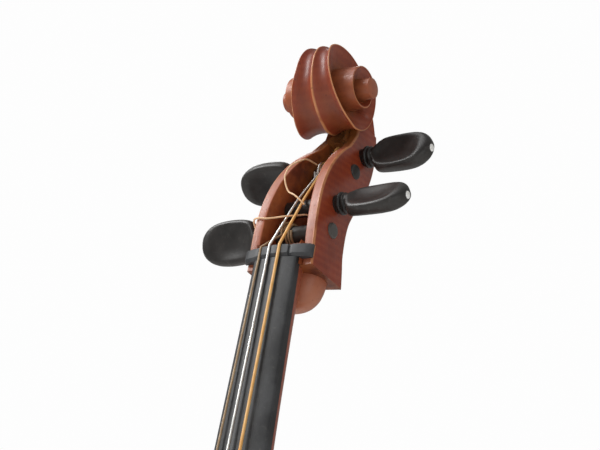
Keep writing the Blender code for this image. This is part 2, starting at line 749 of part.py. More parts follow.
def peg_radius(outward, u):
    """Radius of a tapered peg shaft at a distance toward its handle from the middle plane."""
    wide = cheek_half(u)
    share = (outward + wide) / (2.0 * wide)
    return PEG_RADIUS_SMALL + (PEG_RADIUS_BIG - PEG_RADIUS_SMALL) * share


def make_fingerboard():
    """Ebony board with a rounded top, hollow under its free end."""
    sections = []
    for s in (GAP, 0.15, 0.30, 0.45, BOARD_LENGTH):
        half = BOARD_HALF_NUT + BOARD_SPREAD * s
        loop = []
        steps = 8
        for i in range(steps + 1):
            x = half * (1.0 - 2.0 * i / steps)
            rise = math.sqrt(BOARD_RADIUS ** 2 - x ** 2) - math.sqrt(BOARD_RADIUS ** 2 - half ** 2)
            loop.append(head(x, -s, BOARD_SIDE + rise))
        loop.append(head(-half, -s, GAP))
        loop.append(head(half, -s, GAP))
        sections.append(loop)
    board = loft("fingerboard", sections, "ebony")
    hollow = []
    for s in (0.300, BOARD_LENGTH + 0.01):
        half = (BOARD_HALF_NUT + BOARD_SPREAD * s) - 0.006
        low = -0.002
        hollow.append([head(half, -s, low), head(0.55 * half, -s, 0.0045), head(0.0, -s, 0.0058),
                       head(-0.55 * half, -s, 0.0045), head(-half, -s, low)])
    cut(board, loft("hollow_cutter", hollow, "ebony"), bent=True)
    return board


def nut_crown(x):
    """v of the nut's top at x, falling away toward the cheeks."""
    crown = 0.0086 - 0.0024 * min(1.0, abs(x) / 0.0165) ** 2
    if abs(x) > 0.0165:
        crown -= 0.0022 * ((abs(x) - 0.0165) / 0.0089) ** 1.3
    return crown


NUT_GROOVE = 0.0010
GROOVES = (-0.0113, -0.0038, 0.0038, 0.0113)


def make_nut():
    """The nut, as wide as the pegbox, with four shallow grooves."""
    half = cheek_half(0.0) + 0.0004
    stations = [(x, 0.0) for x in (-half, -0.0235, -0.0205, -0.0165, 0.0, 0.0165, 0.0205, 0.0235, half)]
    for x in GROOVES:
        stations += [(x - 0.0015, 0.0), (x - 0.0011, NUT_GROOVE), (x + 0.0011, NUT_GROOVE), (x + 0.0015, 0.0)]
    rows = []
    for x, dip in sorted(stations):
        middle = min(GROOVES, key=lambda g: abs(g - x))
        crown = nut_crown(middle if dip else x) - dip
        end = 0.0012 if abs(x) > half - 0.001 else 0.0
        rows.append([head(x, 0.0, GAP), head(x, 0.0, crown - 0.0012 - end), head(x, 0.0022, crown - end),
                     head(x, NUT_LENGTH - 0.001, crown - end), head(x, NUT_LENGTH, min(crown - 0.0012 - end, 0.0050)),
                     head(x, NUT_LENGTH, GAP)])
    return loft("nut", rows, "ebony")


# ---- pegs -------------------------------------------------------------------------------

def make_peg(label, u, v, side, turn):
    """Tapered peg with a ringed collar and a hollow-faced wing, plus its pearl pip."""
    wide = cheek_half(u)
    centre = head(0.0, u, v)
    axis = Vector((side, 0.0, 0.0))
    angle = math.radians(turn)
    across = ALONG * math.cos(angle) + OUT * math.sin(angle)
    thick = axis.cross(across)
    small = peg_radius(-wide, u)
    big = peg_radius(wide, u)
    end = PEG_LENGTH_OUT
    rows = [(-wide - 0.0016, small - 0.0010, small - 0.0010), (-wide - 0.0010, small, small),
            (wide + 0.0030, big, big), (wide + 0.0032, 0.0074, 0.0074), (wide + 0.0052, 0.0078, 0.0078),
            (wide + 0.0066, 0.0070, 0.0070), (wide + 0.0086, 0.0064, 0.0062), (wide + 0.0125, 0.0056, 0.0052),
            (wide + 0.0165, 0.0080, 0.0044), (wide + 0.0210, 0.0125, 0.0040), (wide + 0.0270, 0.0152, 0.0038),
            (wide + 0.0345, 0.0150, 0.0040), (wide + 0.0410, 0.0122, 0.0046), (wide + end - 0.0032, 0.0074, 0.0048),
            (wide + end, 0.0034, 0.0034)]
    loops = [ring(centre + axis * d, across, thick, a, b, 12) for d, a, b in rows]
    peg = loft(f"peg_{label}", loops, "ebony")
    tip = centre + axis * (wide + end + GAP)
    turned(f"pip_{label}", ((0.0, 0.0030), (0.0012, 0.0031), (0.0026, 0.0022), (0.0032, 0.0008)), tip, axis,
           across, 10, "pearl")
    return peg


# ---- strings ----------------------------------------------------------------------------

def string_over_peg(x, u, v, radius):
    """A point where a string clears another peg's shaft."""
    reach = peg_radius(0.0, u) + radius + 0.0008
    return head(x, u + 0.50 * reach, v + 0.88 * reach)


def winding(name, label, x0, x1, turns, radius, look):
    """Coils of string round a peg shaft between the cheeks."""
    _, u, v, side, _ = next(p for p in PEGS if p[0] == label)
    path = []
    steps = int(12 * turns)
    for i in range(steps + 1):
        share = i / steps
        x = x0 + (x1 - x0) * share
        reach = peg_radius(side * x, u) + radius + COIL_LIFT
        t = math.pi / 2.0 - 2.0 * math.pi * turns * share
        path.append(head(x, u + reach * math.cos(t), v + reach * math.sin(t)))
    return tube(name, path, radius, 5, look)


def outside_winding(label, x, degrees, radius, lift):
    """A point round a peg's axis that clears its turning coils; 90 faces the front."""
    _, u, v, side, _ = next(p for p in PEGS if p[0] == label)
    reach = peg_radius(side * x, u) + COIL_LIFT + 3.0 * radius + lift
    angle = math.radians(degrees)
    return head(x, u + reach * math.cos(angle), v + reach * math.sin(angle))


def loose_gut(name, points, radius):
    """A stiff loose end of gut: a round cord on a smooth route."""
    route = smooth_path(points, 6)
    spaced = [route[0]]
    for point in route[1:]:
        if (point - spaced[-1]).length >= 4.4 * radius:
            spaced.append(point)
    curve = bpy.data.curves.new(name, "CURVE")
    curve.dimensions = "3D"
    curve.bevel_depth = radius
    curve.bevel_resolution = 2
    curve.use_fill_caps = True
    line = curve.splines.new("POLY")
    line.points.add(len(spaced) - 1)
    for slot, point in zip(line.points, spaced):
        slot.co = (*point, 1.0)
    obj = bpy.data.objects.new(name, curve)
    bpy.context.scene.collection.objects.link(obj)
    colour, roughness, metallic = LOOKS["gut_string"]
    curve.materials.append(material(name, colour, roughness, metallic))
    return obj


def make_windings():
    """What is wound on each peg, and the two loose ends of gut in the pegbox."""
    winding("winding_c", "c", LANDS["c"], -0.0030, 3.0, STRING_RADIUS[0], "gut_string")
    winding("winding_g", "g", LANDS["g"], -0.0088, 2.0, STRING_RADIUS[1], "silver_string")
    winding("winding_d", "d", LANDS["d"], 0.0046, 3.0, STRING_RADIUS[2], "gut_string")
    winding("winding_a", "a", 0.0130, 0.0066, 3.75, STRING_RADIUS[0], "gut_string")
    thick = STRING_RADIUS[1]
    thin = STRING_RADIUS[0]
    loose_gut("loose_gut_loop", [outside_winding("g", -0.0072, 60.0, thick, 0.0005)] + [head(*p) for p in (
        (-0.0078, 0.0885, -0.0210), (-0.0084, 0.0838, -0.0140), (-0.0110, 0.0770, -0.0080),
        (-0.0125, 0.0703, -0.0060), (-0.0120, 0.0646, -0.0060), (-0.0086, 0.0568, -0.0070), (-0.0041, 0.0538, -0.0065),
        (-0.0003, 0.0510, -0.0060), (0.0032, 0.0478, -0.0066), (0.0060, 0.0450, -0.0080))], LOOSE_RADIUS)
    loose_gut("loose_gut_end", [outside_winding("a", 0.0072, 170.0, thin, 0.0005)] + [head(*p) for p in (
        (0.0048, 0.0405, -0.0130), (0.0012, 0.0392, -0.0104), (-0.0030, 0.0346, -0.0018), (-0.0110, 0.0328, 0.0012),
        (-0.0152, 0.0322, 0.0026), (-0.0210, 0.0332, 0.0028), (-0.0245, 0.0330, 0.0023), (-0.0264, 0.0318, -0.0004),
        (-0.0270, 0.0290, -0.0045), (-0.0271, 0.0262, -0.0078))], LOOSE_RADIUS)


# Where each string lands on its own peg.
LANDS = {"c": -0.0095, "g": -0.0048, "d": -0.0022}


def make_strings():
    """Three strings from the tailpiece over bridge and nut to their pegs."""
    slots = (-0.0195, -0.0066, 0.0066)
    for i, (label, look) in enumerate((("c", "gut_string"), ("g", "silver_string"), ("d", "gut_string"))):
        radius = STRING_RADIUS[i]
        x_nut = STRING_X_NUT[i]
        lift = nut_crown(x_nut) - NUT_GROOVE + radius + GAP
        drift = LANDS[label] - x_nut
        crown = bridge_top(STRING_X_BRIDGE[i], radius)
        bar = fret_crown(slots[i]) + radius + GAP
        path = [tail(slots[i], 0.0218, -0.0030), tail(slots[i], 0.0212, 0.0010), tail(slots[i], 0.0092, bar),
                tail(slots[i], 0.0058, bar), crown + Vector((0.0, 0.0, -0.0014)), crown + Vector((0.0, 0.0, 0.0014)),
                head(x_nut, 0.0012, lift), head(x_nut, NUT_LENGTH - 0.0008, lift)]
        if label in ("g", "d"):
            path.append(string_over_peg(x_nut + drift * 0.55, 0.0499, -0.0206, radius))
        if label == "d":
            path.append(string_over_peg(x_nut + drift * 0.9, 0.0857, -0.0405, radius))
        for degrees in (112.0, 90.0, 68.0, 46.0, 24.0, 4.0):
            path.append(outside_winding(label, LANDS[label], degrees, radius, GAP))
        tube(f"string_{label}", path, radius, 8, look)


def bridge_top(x, lift):
    """Centre of a string where it crosses the bridge."""
    belly = FRONT - EDGE_THICKNESS - TOP_ARCH - GAP
    crown = BRIDGE_HEIGHT + math.sqrt(BRIDGE_RADIUS ** 2 - x ** 2) - BRIDGE_RADIUS
    return Vector((x, belly - crown - lift - GAP, BRIDGE_Z))


# ---- tailpiece --------------------------------------------------------------------------

TAIL_LENGTH = 0.226
TAIL_TOP = Vector((0.0, -0.1370, BRIDGE_Z - 0.118))
TAIL_DIR = Vector((0.0, 0.2570, -0.9664)).normalized()
TAIL_OUT = Vector((0.0, -0.9664, -0.2570)).normalized()


def tail(x, s, w):
    """World position on the tailpiece: s runs down from its wide end, w stands outward."""
    return TAIL_TOP + Vector((x, 0.0, 0.0)) + TAIL_DIR * s + TAIL_OUT * w


def fret_crown(x):
    """Height of the tailpiece fret's top at x."""
    return 0.0080 * (1.0 - 0.62 * (x / 0.0290) ** 2) + GAP + 0.00025 + 0.0018


def make_tailpiece():
    """Arched ebony tailpiece, hollow beneath, with four keyholes and a raised fret."""
    sections = []
    for s, half, rise in ((0.0, 0.0285, 0.0070), (0.006, 0.0295, 0.0080), (0.040, 0.0275, 0.0085),
                          (0.110, 0.0225, 0.0085), (0.190, 0.0180, 0.0080), (0.220, 0.0160, 0.0070),
                          (TAIL_LENGTH, 0.0130, 0.0055)):
        loop = []
        steps = 8
        for i in range(steps + 1):
            t = 1.0 - 2.0 * i / steps
            loop.append(tail(t * half, s, rise * (1.0 - 0.62 * t * t)))
        loop.append(tail(-half * 0.94, s, -0.0042))
        loop.append(tail(half * 0.94, s, -0.0042))
        sections.append(loop)
    body = loft("tailpiece", sections, "ebony")
    hollow = []
    for s, half in ((0.030, 0.0200), (0.110, 0.0165), (0.205, 0.0115)):
        hollow.append([tail(half, s, -0.01), tail(half, s, 0.0005), tail(0.0, s, 0.0030), tail(-half, s, 0.0005),
                       tail(-half, s, -0.01)])
    cut(body, loft("hollow_cutter", hollow, "ebony"))
    for x in (-0.0195, -0.0066, 0.0066, 0.0195):
        cut(body, cylinder("keyhole", tail(x, 0.0215, -0.02), tail(x, 0.0215, 0.02), 0.0026, 12, "ebony"))
        slit = [tail(x - 0.0014, s, w) for s, w in ((0.0120, -0.02), (0.0215, -0.02), (0.0215, 0.02), (0.0120, 0.02))]
        other = [p + Vector((0.0028, 0.0, 0.0)) for p in slit]
        cut(body, loft("slit", [slit, other], "ebony"))
    for x in (-0.0065, 0.0065):
        cut(body, cylinder("gut_hole", tail(x, 0.195, 0.0), tail(x, 0.240, 0.0), 0.0016, 10, "ebony"))
    return body


def make_fret():
    """The raised bar the strings cross on the tailpiece."""
    sections = []
    steps = 8
    for i in range(steps + 1):
        x = 0.0262 * (1.0 - 2.0 * i / steps)
        base = fret_crown(x) - 0.0018
        sections.append([tail(x, 0.0055, base), tail(x, 0.0095, base), tail(x, 0.0088, base + 0.0018),
                         tail(x, 0.0062, base + 0.0018)])
    return loft("tailpiece_fret", sections, "ebony")


# ---- bridge, bass bar and sound post ----------------------------------------------------

def surface_depth(plate, x, z, outside):
    """y of a plate's skin at (x, z), seen from outside the body or from inside it."""
    tree = BVHTree.FromPolygons([v.co.copy() for v in plate.data.vertices],
                                [tuple(p.vertices) for p in plate.data.polygons])
    sense = -1.0 if plate.name.startswith("top") else 1.0
    start = Vector((x, sense * 0.30, z)) if outside else Vector((x, 0.0, z))
    direction = Vector((0.0, -sense if outside else sense, 0.0))
    return tree.ray_cast(start, direction)[0].y


def make_bridge(top):
    """Tall two-footed bridge that thins toward the strings."""
    crown_y = surface_depth(top, 0.0, BRIDGE_Z, True)
    half = []
    for i in range(6):
        x = 0.030 * i / 5.0
        half.append((x, BRIDGE_HEIGHT + math.sqrt(BRIDGE_RADIUS ** 2 - x ** 2) - BRIDGE_RADIUS))
    half += [(0.0328, 0.0790), (0.0318, 0.0725), (0.0262, 0.0690), (0.0212, 0.0640), (0.0190, 0.0560),
             (0.0212, 0.0485), (0.0275, 0.0455), (0.0352, 0.0440), (0.0375, 0.0400), (0.0345, 0.0335),
             (0.0345, 0.0200), (0.0385, 0.0060), (0.0455, -0.0012)]
    soles = []
    for x in (0.0460, 0.0400, 0.0340, 0.0275):
        skins = [surface_depth(top, sign * x, BRIDGE_Z + dz, True) for sign in (-1, 1) for dz in (-0.0055, 0.0055)]
        soles.append((x, crown_y - min(skins) + GAP))
    half += soles
    half += [(0.0285, 0.0045), (0.0262, 0.0130), (0.0210, 0.0245), (0.0120, 0.0325), (0.0, 0.0352)]
    outline = half + [(-x, h) for x, h in half[-2:0:-1]]
    loops = []
    for face in (-1, 1):
        loop = []
        for x, h in outline:
            thick = 0.0056 - 0.0041 * max(0.0, h) / BRIDGE_HEIGHT
            loop.append(Vector((x, crown_y - h, BRIDGE_Z + face * thick)))
        loops.append(loop)
    bridge = loft("bridge", loops, "bridge_maple")
    heart = ((0.0, 0.0660), (0.0050, 0.0700), (0.0092, 0.0672), (0.0086, 0.0600), (0.0042, 0.0535), (0.0, 0.0505))
    ring_points = list(heart) + [(-x, h) for x, h in heart[-2:0:-1]]
    low = [Vector((x, crown_y - h, BRIDGE_Z - 0.01)) for x, h in ring_points]
    high = [Vector((p.x, p.y, BRIDGE_Z + 0.01)) for p in low]
    cut(bridge, loft("heart_cutter", [low, high], "ebony"))
    return crown_y


def make_bass_bar(top):
    """The long bar glued under the bass side of the belly."""
    rows = []
    count = 12
    for i in range(count + 1):
        share = i / count
        z = BODY_BOTTOM + 0.095 + 0.565 * share
        skins = [surface_depth(top, x, z, False) for x in (-0.0445, -0.0390, -0.0335)]
        upper = max(skins) + 0.0008
        lower = upper + 0.0060 + 0.0170 * math.sin(math.pi * share)
        rows.append([Vector((-0.0445, upper, z)), Vector((-0.0335, upper, z)), Vector((-0.0345, lower, z)),
                     Vector((-0.0435, lower, z))])
    loft("bass_bar", rows, "bare_wood")


def make_sound_post(top, back):
    """The upright dowel standing between the plates behind the treble foot."""
    x = 0.0360
    z = BRIDGE_Z - 0.0200
    radius = 0.0055
    around = [(x, z)] + [(x + radius * math.cos(k * math.pi / 4.0), z + radius * math.sin(k * math.pi / 4.0))
                         for k in range(8)]
    front = max(surface_depth(top, px, pz, False) for px, pz in around) + GAP
    rear = min(surface_depth(back, px, pz, False) for px, pz in around) - GAP
    cylinder("sound_post", Vector((x, front, z)), Vector((x, rear, z)), radius, 16, "bare_wood")


# ---- lower end: saddle, tail gut and endpin ---------------------------------------------

def bored(name, profile, bore, count, look, z0):
    """A turned piece about the endpin axis with a straight bore through it."""
    loops = []
    centre = Vector((0.0, 0.0, z0))
    side = Vector((1.0, 0.0, 0.0))
    other = Vector((0.0, 1.0, 0.0))
    for d, r in profile:
        loops.append(ring(centre + Vector((0.0, 0.0, d)), side, other, r, r, count))
    for d in (profile[-1][0], profile[0][0]):
        loops.append(ring(centre + Vector((0.0, 0.0, d)), side, other, bore, bore, count))
    return loft(name, loops, look, closed=True)


def make_endpin(pieces):
    """Turned plug, metal collar with its thumbscrew, sliding rod and rubber foot."""
    for piece in pieces:
        start = Vector((0.0, 0.0, BODY_BOTTOM - 0.012))
        cut(piece, cylinder("plug_cutter", start, start + Vector((0.0, 0.0, 0.080)), PLUG_RADIUS + GAP, 24, "ebony"))
    profile = ((0.046, 0.0117), (0.0036, PLUG_RADIUS), (0.0034, 0.0160), (0.0004, 0.0165), (-0.0028, 0.0152),
               (-0.0042, 0.0128), (-0.0080, 0.0128), (-0.0094, 0.0150), (-0.0160, 0.0158), (-0.0240, 0.0134),
               (-0.0280, 0.0104))
    bored("endpin_plug", profile, ROD_RADIUS + GAP, 20, "ebony", BODY_BOTTOM)
    collar = bored("endpin_collar", ((-0.0283, 0.0088), (-0.0293, 0.0096), (-0.0390, 0.0096), (-0.0400, 0.0088)),
                   ROD_RADIUS + GAP, 18, "brass", BODY_BOTTOM)
    screw_z = BODY_BOTTOM - 0.0342
    outward = Vector((0.0, -1.0, 0.0))
    hole = cylinder("screw_cutter", Vector((0.0, -ROD_RADIUS + 0.001, screw_z)), Vector((0.0, -0.02, screw_z)),
                    0.0023, 12, "ebony")
    cut(collar, hole)
    screw = turned("endpin_thumbscrew", ((0.0, 0.0020), (0.0075, 0.0020), (0.0077, 0.0036), (0.0095, 0.0036),
                                         (0.0110, 0.0026)), Vector((0.0, -ROD_RADIUS - GAP, screw_z)), outward,
                   Vector((1.0, 0.0, 0.0)), 12, "steel")
    blade = []
    for dz in (-0.0012, 0.0012):
        blade.append(ring(Vector((0.0, -0.0205, screw_z + dz)), Vector((1.0, 0.0, 0.0)), outward, 0.0085, 0.0058, 16))
    cut(screw, loft("blade_part", blade, "steel"), "UNION")
    turned("endpin_rod", ((0.0, 0.0030), (0.004, ROD_RADIUS), (ROD_LENGTH - 0.0015, ROD_RADIUS),
                          (ROD_LENGTH, ROD_RADIUS - 0.0015)), Vector((0.0, 0.0, 0.0070)), Vector((0.0, 0.0, 1.0)),
           Vector((1.0, 0.0, 0.0)), 20, "steel")
    foot = turned("endpin_foot", ((0.0, 0.0085), (0.0012, 0.0098), (0.0080, 0.0112), (0.0140, 0.0104), (0.0150, 0.0088),
                                  (0.0300, 0.0078), (0.0312, 0.0070)), Vector((0.0, 0.0, 0.0)),
                  Vector((0.0, 0.0, 1.0)), Vector((1.0, 0.0, 0.0)), 20, "rubber")
    cut(foot, cylinder("socket_cutter", Vector((0.0, 0.0, 0.0064)), Vector((0.0, 0.0, 0.04)), ROD_RADIUS + GAP, 20,
                       "ebony"))


def make_saddle(top):
    """Ebony block let into the lower edge of the belly."""
    half = 0.018
    low = BODY_BOTTOM + 0.0008
    high = BODY_BOTTOM + 0.0122
    cut(top, box("saddle_cutter", -half - GAP, half + GAP, FRONT - 0.03, FRONT + 0.001, low - 0.01, high + GAP, "ebony"))
    rear = FRONT - 0.00005
    front = FRONT - EDGE_THICKNESS - 0.0052
    loops = []
    for x in (-half, -half + 0.004, half - 0.004, half):
        drop = 0.0034 if abs(x) > half - 0.001 else 0.0
        loops.append([Vector((x, rear, low)), Vector((x, rear, high)), Vector((x, front + 0.0035 + drop, high)),
                      Vector((x, front + drop, high - 0.0035)), Vector((x, front + drop, low + 0.0020)),
                      Vector((x, front + 0.0020 + drop, low))])
    loft("saddle", loops, "ebony")
    return front


def make_tail_gut(front):
    """Cord looped from the tailpiece over the saddle and round the plug's groove."""
    radius = 0.0010
    z = BODY_BOTTOM - 0.0061
    clear = front - radius - 0.0004
    side = [tail(0.0065, 0.199, 0.0), tail(0.0065, 0.214, 0.0), tail(0.0067, 0.2275, 0.0),
            Vector((0.0078, clear - 0.0002, BODY_BOTTOM + 0.0095)), Vector((0.0086, clear - 0.0002, BODY_BOTTOM + 0.0028)),
            Vector((0.0096, clear + 0.0016, BODY_BOTTOM - 0.0014)), Vector((0.0112, FRONT + 0.008, BODY_BOTTOM - 0.0042)),
            Vector((0.0138, -0.020, z))]
    reach = 0.0128 + radius + GAP
    turn = [Vector((reach * math.cos(a), reach * math.sin(a), z)) for a in [k * math.pi / 12.0 for k in range(13)]]
    half = side + [turn[0]]
    other = [Vector((-p.x, p.y, p.z)) for p in half]
    tube("tail_gut", half + turn[1:-1] + other[::-1], radius, 6, "gut_string")


# ---- build ------------------------------------------------------------------------------

def clear_scene():
    """Start from an empty scene."""
    for obj in list(bpy.data.objects):
        bpy.data.objects.remove(obj)


def set_origin(name, point):
    """Move an object's origin without moving its surface."""
    obj = bpy.data.objects[name]
    obj.data.transform(Matrix.Translation(-point))
    obj.location = point


def place_origins():
    """Give every moving piece an origin on its joint's axis."""
    for label, u, v, side, turn in PEGS:
        for kind in ("peg", "pip", "winding"):
            set_origin(f"{kind}_{label}", head(0.0, u, v))
    for name in ("endpin_rod", "endpin_foot"):
        set_origin(name, Vector((0.0, 0.0, BODY_BOTTOM)))
    set_origin("endpin_thumbscrew", Vector((0.0, -0.012, BODY_BOTTOM - 0.0342)))


def shade_round_pieces():
    """Smooth shading with crisp edges for everything turned, carved or drawn round."""
    for obj in bpy.data.objects:
        if obj.type == "MESH" and not obj.name.startswith(FLAT_NAMES):
            obj.data.shade_smooth()
            obj.data.set_sharp_from_angle(angle=math.radians(40.0))


def build():
    """Make every piece of the cello."""
    clear_scene()
    top = make_plate("top_plate", TOP_ARCH, FRONT, -1, "spruce")
    back = make_plate("back_plate", BACK_ARCH, REAR, 1, "maple")
    button = [ring(Vector((0.0, REAR + d, BODY_TOP - 0.006)), Vector((1.0, 0.0, 0.0)), Vector((0.0, 0.0, 1.0)), 0.0150,
                   0.0195, 20) for d in (GAP, EDGE_THICKNESS)]
    cut(back, loft("button_part", button, "maple"), "UNION")
    ribs = make_ribs_and_linings()
    neck_block, end_block = make_blocks()
    for mirror in (1, -1):
        cut_sound_hole(top, mirror)
    neck = make_neck()
    cut(neck, make_pegbox(), "UNION")
    cut(neck, make_chin(), "UNION")
    cut(neck, make_scroll(24), "UNION")
    carve_pegbox(neck)
    cut_mortise([top, neck_block, ribs["upper", "bass"], ribs["upper", "treble"]])
    make_fingerboard()
    make_nut()
    for label, u, v, side, turn in PEGS:
        make_peg(label, u, v, side, turn)
    make_tailpiece()
    make_fret()
    make_bridge(top)
    make_bass_bar(top)
    make_sound_post(top, back)
    saddle_front = make_saddle(top)
    make_tail_gut(saddle_front)
    make_endpin([end_block, ribs["lower", "bass"], ribs["lower", "treble"]])
    make_windings()
    make_strings()
    place_origins()
    shade_round_pieces()


build()
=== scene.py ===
"""The look of a worn cello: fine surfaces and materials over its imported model."""
import math

import bmesh
import bpy
from mathutils import Matrix, Vector


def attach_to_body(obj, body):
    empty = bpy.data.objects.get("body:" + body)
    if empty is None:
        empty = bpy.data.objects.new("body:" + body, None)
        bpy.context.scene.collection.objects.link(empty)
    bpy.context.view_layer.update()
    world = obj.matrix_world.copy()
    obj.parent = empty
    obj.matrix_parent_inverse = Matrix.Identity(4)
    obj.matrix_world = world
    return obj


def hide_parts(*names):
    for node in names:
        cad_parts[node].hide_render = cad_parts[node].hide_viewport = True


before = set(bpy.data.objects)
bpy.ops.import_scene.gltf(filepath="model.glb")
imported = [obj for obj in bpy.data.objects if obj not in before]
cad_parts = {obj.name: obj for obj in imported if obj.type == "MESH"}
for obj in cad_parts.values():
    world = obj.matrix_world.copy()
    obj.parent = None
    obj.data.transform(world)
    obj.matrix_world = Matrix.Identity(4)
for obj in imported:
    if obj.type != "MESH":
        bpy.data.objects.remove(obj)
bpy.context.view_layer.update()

# ---- driving sizes, the same as the model's (metres) ------------------------------------
GAP = 0.0003
BODY_LENGTH = 0.755
BODY_BOTTOM = 0.285
BODY_TOP = BODY_BOTTOM + BODY_LENGTH
LOWER_HALF = 0.220
WAIST_HALF = 0.115
RIB_HEIGHT = 0.118
FRONT = -RIB_HEIGHT / 2.0
REAR = RIB_HEIGHT / 2.0
OVERHANG = 0.0042
EDGE_THICKNESS = 0.0048
NECK_TILT = math.radians(9.6)
NECK_LENGTH = 0.280
OVERSTAND = 0.022
BOARD_HALF_NUT = 0.016
BOARD_SPREAD = 0.0263
BOARD_LENGTH = 0.590
BOARD_SIDE = 0.0055
BOARD_RADIUS = 0.064
NUT_LENGTH = 0.009
CHEEK_THICKNESS = 0.0076
FOOT_WIDTH = 0.04997
THROAT_WIDTH = 0.02951
CHEEK_BULGE = 0.01776
PEGBOX_LENGTH = 0.110
THROAT_START = 0.104
THROAT_SLOPE = 0.68
EYE_U = 0.1389
EYE_V = -0.0227
EYE_HALF = 0.0346
EYE_RADIUS = 0.0070
PEG_RADIUS_BIG = 0.0063
PEG_RADIUS_SMALL = 0.0053
COIL_LIFT = 0.00038
GUT_THIN = 0.00075
SILVER = 0.00095
GUT_THICK = 0.0010
LOOSE_RADIUS = 0.0006

# Each peg: name, u, v, side of its handle, turn of its wing in degrees.
PEGS = (("c", 0.0288, -0.0178, -1, 20.0), ("a", 0.0499, -0.0206, 1, -35.0),
        ("g", 0.0857, -0.0405, -1, 50.0), ("d", 0.1037, -0.0522, 1, -15.0))

ALONG = Vector((0.0, math.sin(NECK_TILT), math.cos(NECK_TILT)))
OUT = Vector((0.0, -math.cos(NECK_TILT), math.sin(NECK_TILT)))
NUT_POINT = Vector((0.0, FRONT - EDGE_THICKNESS - OVERSTAND, BODY_TOP)) + ALONG * NECK_LENGTH


def head(x, u, v):
    """World place of a point: u runs from the nut toward the scroll, v out toward the strings."""
    return NUT_POINT + Vector((x, 0.0, 0.0)) + ALONG * u + OUT * v


# ---- node helpers -----------------------------------------------------------------------

class Nodes:
    """A short way to write a material's node tree."""

    def __init__(self, name):
        self.mat = bpy.data.materials.new(name)
        self.mat.use_nodes = True
        self.tree = self.mat.node_tree
        self.shader = self.tree.nodes["Principled BSDF"]
        self.coords = self.tree.nodes.new("ShaderNodeTexCoord").outputs["Object"]

    def link(self, source, target):
        if isinstance(source, (int, float, tuple)):
            target.default_value = source
        else:
            self.tree.links.new(source, target)

    def stretched(self, scale, turn=(0.0, 0.0, 0.0)):
        """Object coordinates turned and scaled."""
        node = self.tree.nodes.new("ShaderNodeMapping")
        node.inputs["Scale"].default_value = scale
        node.inputs["Rotation"].default_value = turn
        self.tree.links.new(self.coords, node.inputs["Vector"])
        return node.outputs["Vector"]

    def noise(self, vector, scale, detail=4.0, rough=0.55, distortion=0.0):
        node = self.tree.nodes.new("ShaderNodeTexNoise")
        self.link(vector, node.inputs["Vector"])
        node.inputs["Scale"].default_value = scale
        node.inputs["Detail"].default_value = detail
        node.inputs["Roughness"].default_value = rough
        node.inputs["Distortion"].default_value = distortion
        return node.outputs["Fac"]

    def wave(self, vector, scale, distortion, detail=2.0, direction="X"):
        node = self.tree.nodes.new("ShaderNodeTexWave")
        node.bands_direction = direction
        self.link(vector, node.inputs["Vector"])
        node.inputs["Scale"].default_value = scale
        node.inputs["Distortion"].default_value = distortion
        node.inputs["Detail"].default_value = detail
        return node.outputs["Fac"]

    def spread(self, value, low, high, to_low=0.0, to_high=1.0):
        """Rescale and clamp a value."""
        node = self.tree.nodes.new("ShaderNodeMapRange")
        self.link(value, node.inputs["Value"])
        node.inputs["From Min"].default_value = low
        node.inputs["From Max"].default_value = high
        node.inputs["To Min"].default_value = to_low
        node.inputs["To Max"].default_value = to_high
        return node.outputs["Result"]

    def mix(self, factor, a, b, blend="MIX"):
        node = self.tree.nodes.new("ShaderNodeMix")
        node.data_type = "RGBA"
        node.blend_type = blend
        self.link(factor, node.inputs["Factor"])
        self.link((*a, 1.0) if isinstance(a, tuple) and len(a) == 3 else a, node.inputs["A"])
        self.link((*b, 1.0) if isinstance(b, tuple) and len(b) == 3 else b, node.inputs["B"])
        return node.outputs["Result"]

    def math(self, kind, a, b):
        node = self.tree.nodes.new("ShaderNodeMath")
        node.operation = kind
        self.link(a, node.inputs[0])
        self.link(b, node.inputs[1])
        return node.outputs[0]

    def painted(self, name):
        """A value stored on the mesh's points."""
        node = self.tree.nodes.new("ShaderNodeAttribute")
        node.attribute_name = name
        return node.outputs["Fac"]

    def finish(self, colour, roughness, height=None, strength=0.2, distance=0.001):
        self.link(colour, self.shader.inputs["Base Color"])
        self.link(roughness, self.shader.inputs["Roughness"])
        if height is not None:
            bump = self.tree.nodes.new("ShaderNodeBump")
            bump.inputs["Strength"].default_value = strength
            bump.inputs["Distance"].default_value = distance
            self.link(height, bump.inputs["Height"])
            self.tree.links.new(bump.outputs["Normal"], self.shader.inputs["Normal"])
        return self.mat


# ---- materials --------------------------------------------------------------------------

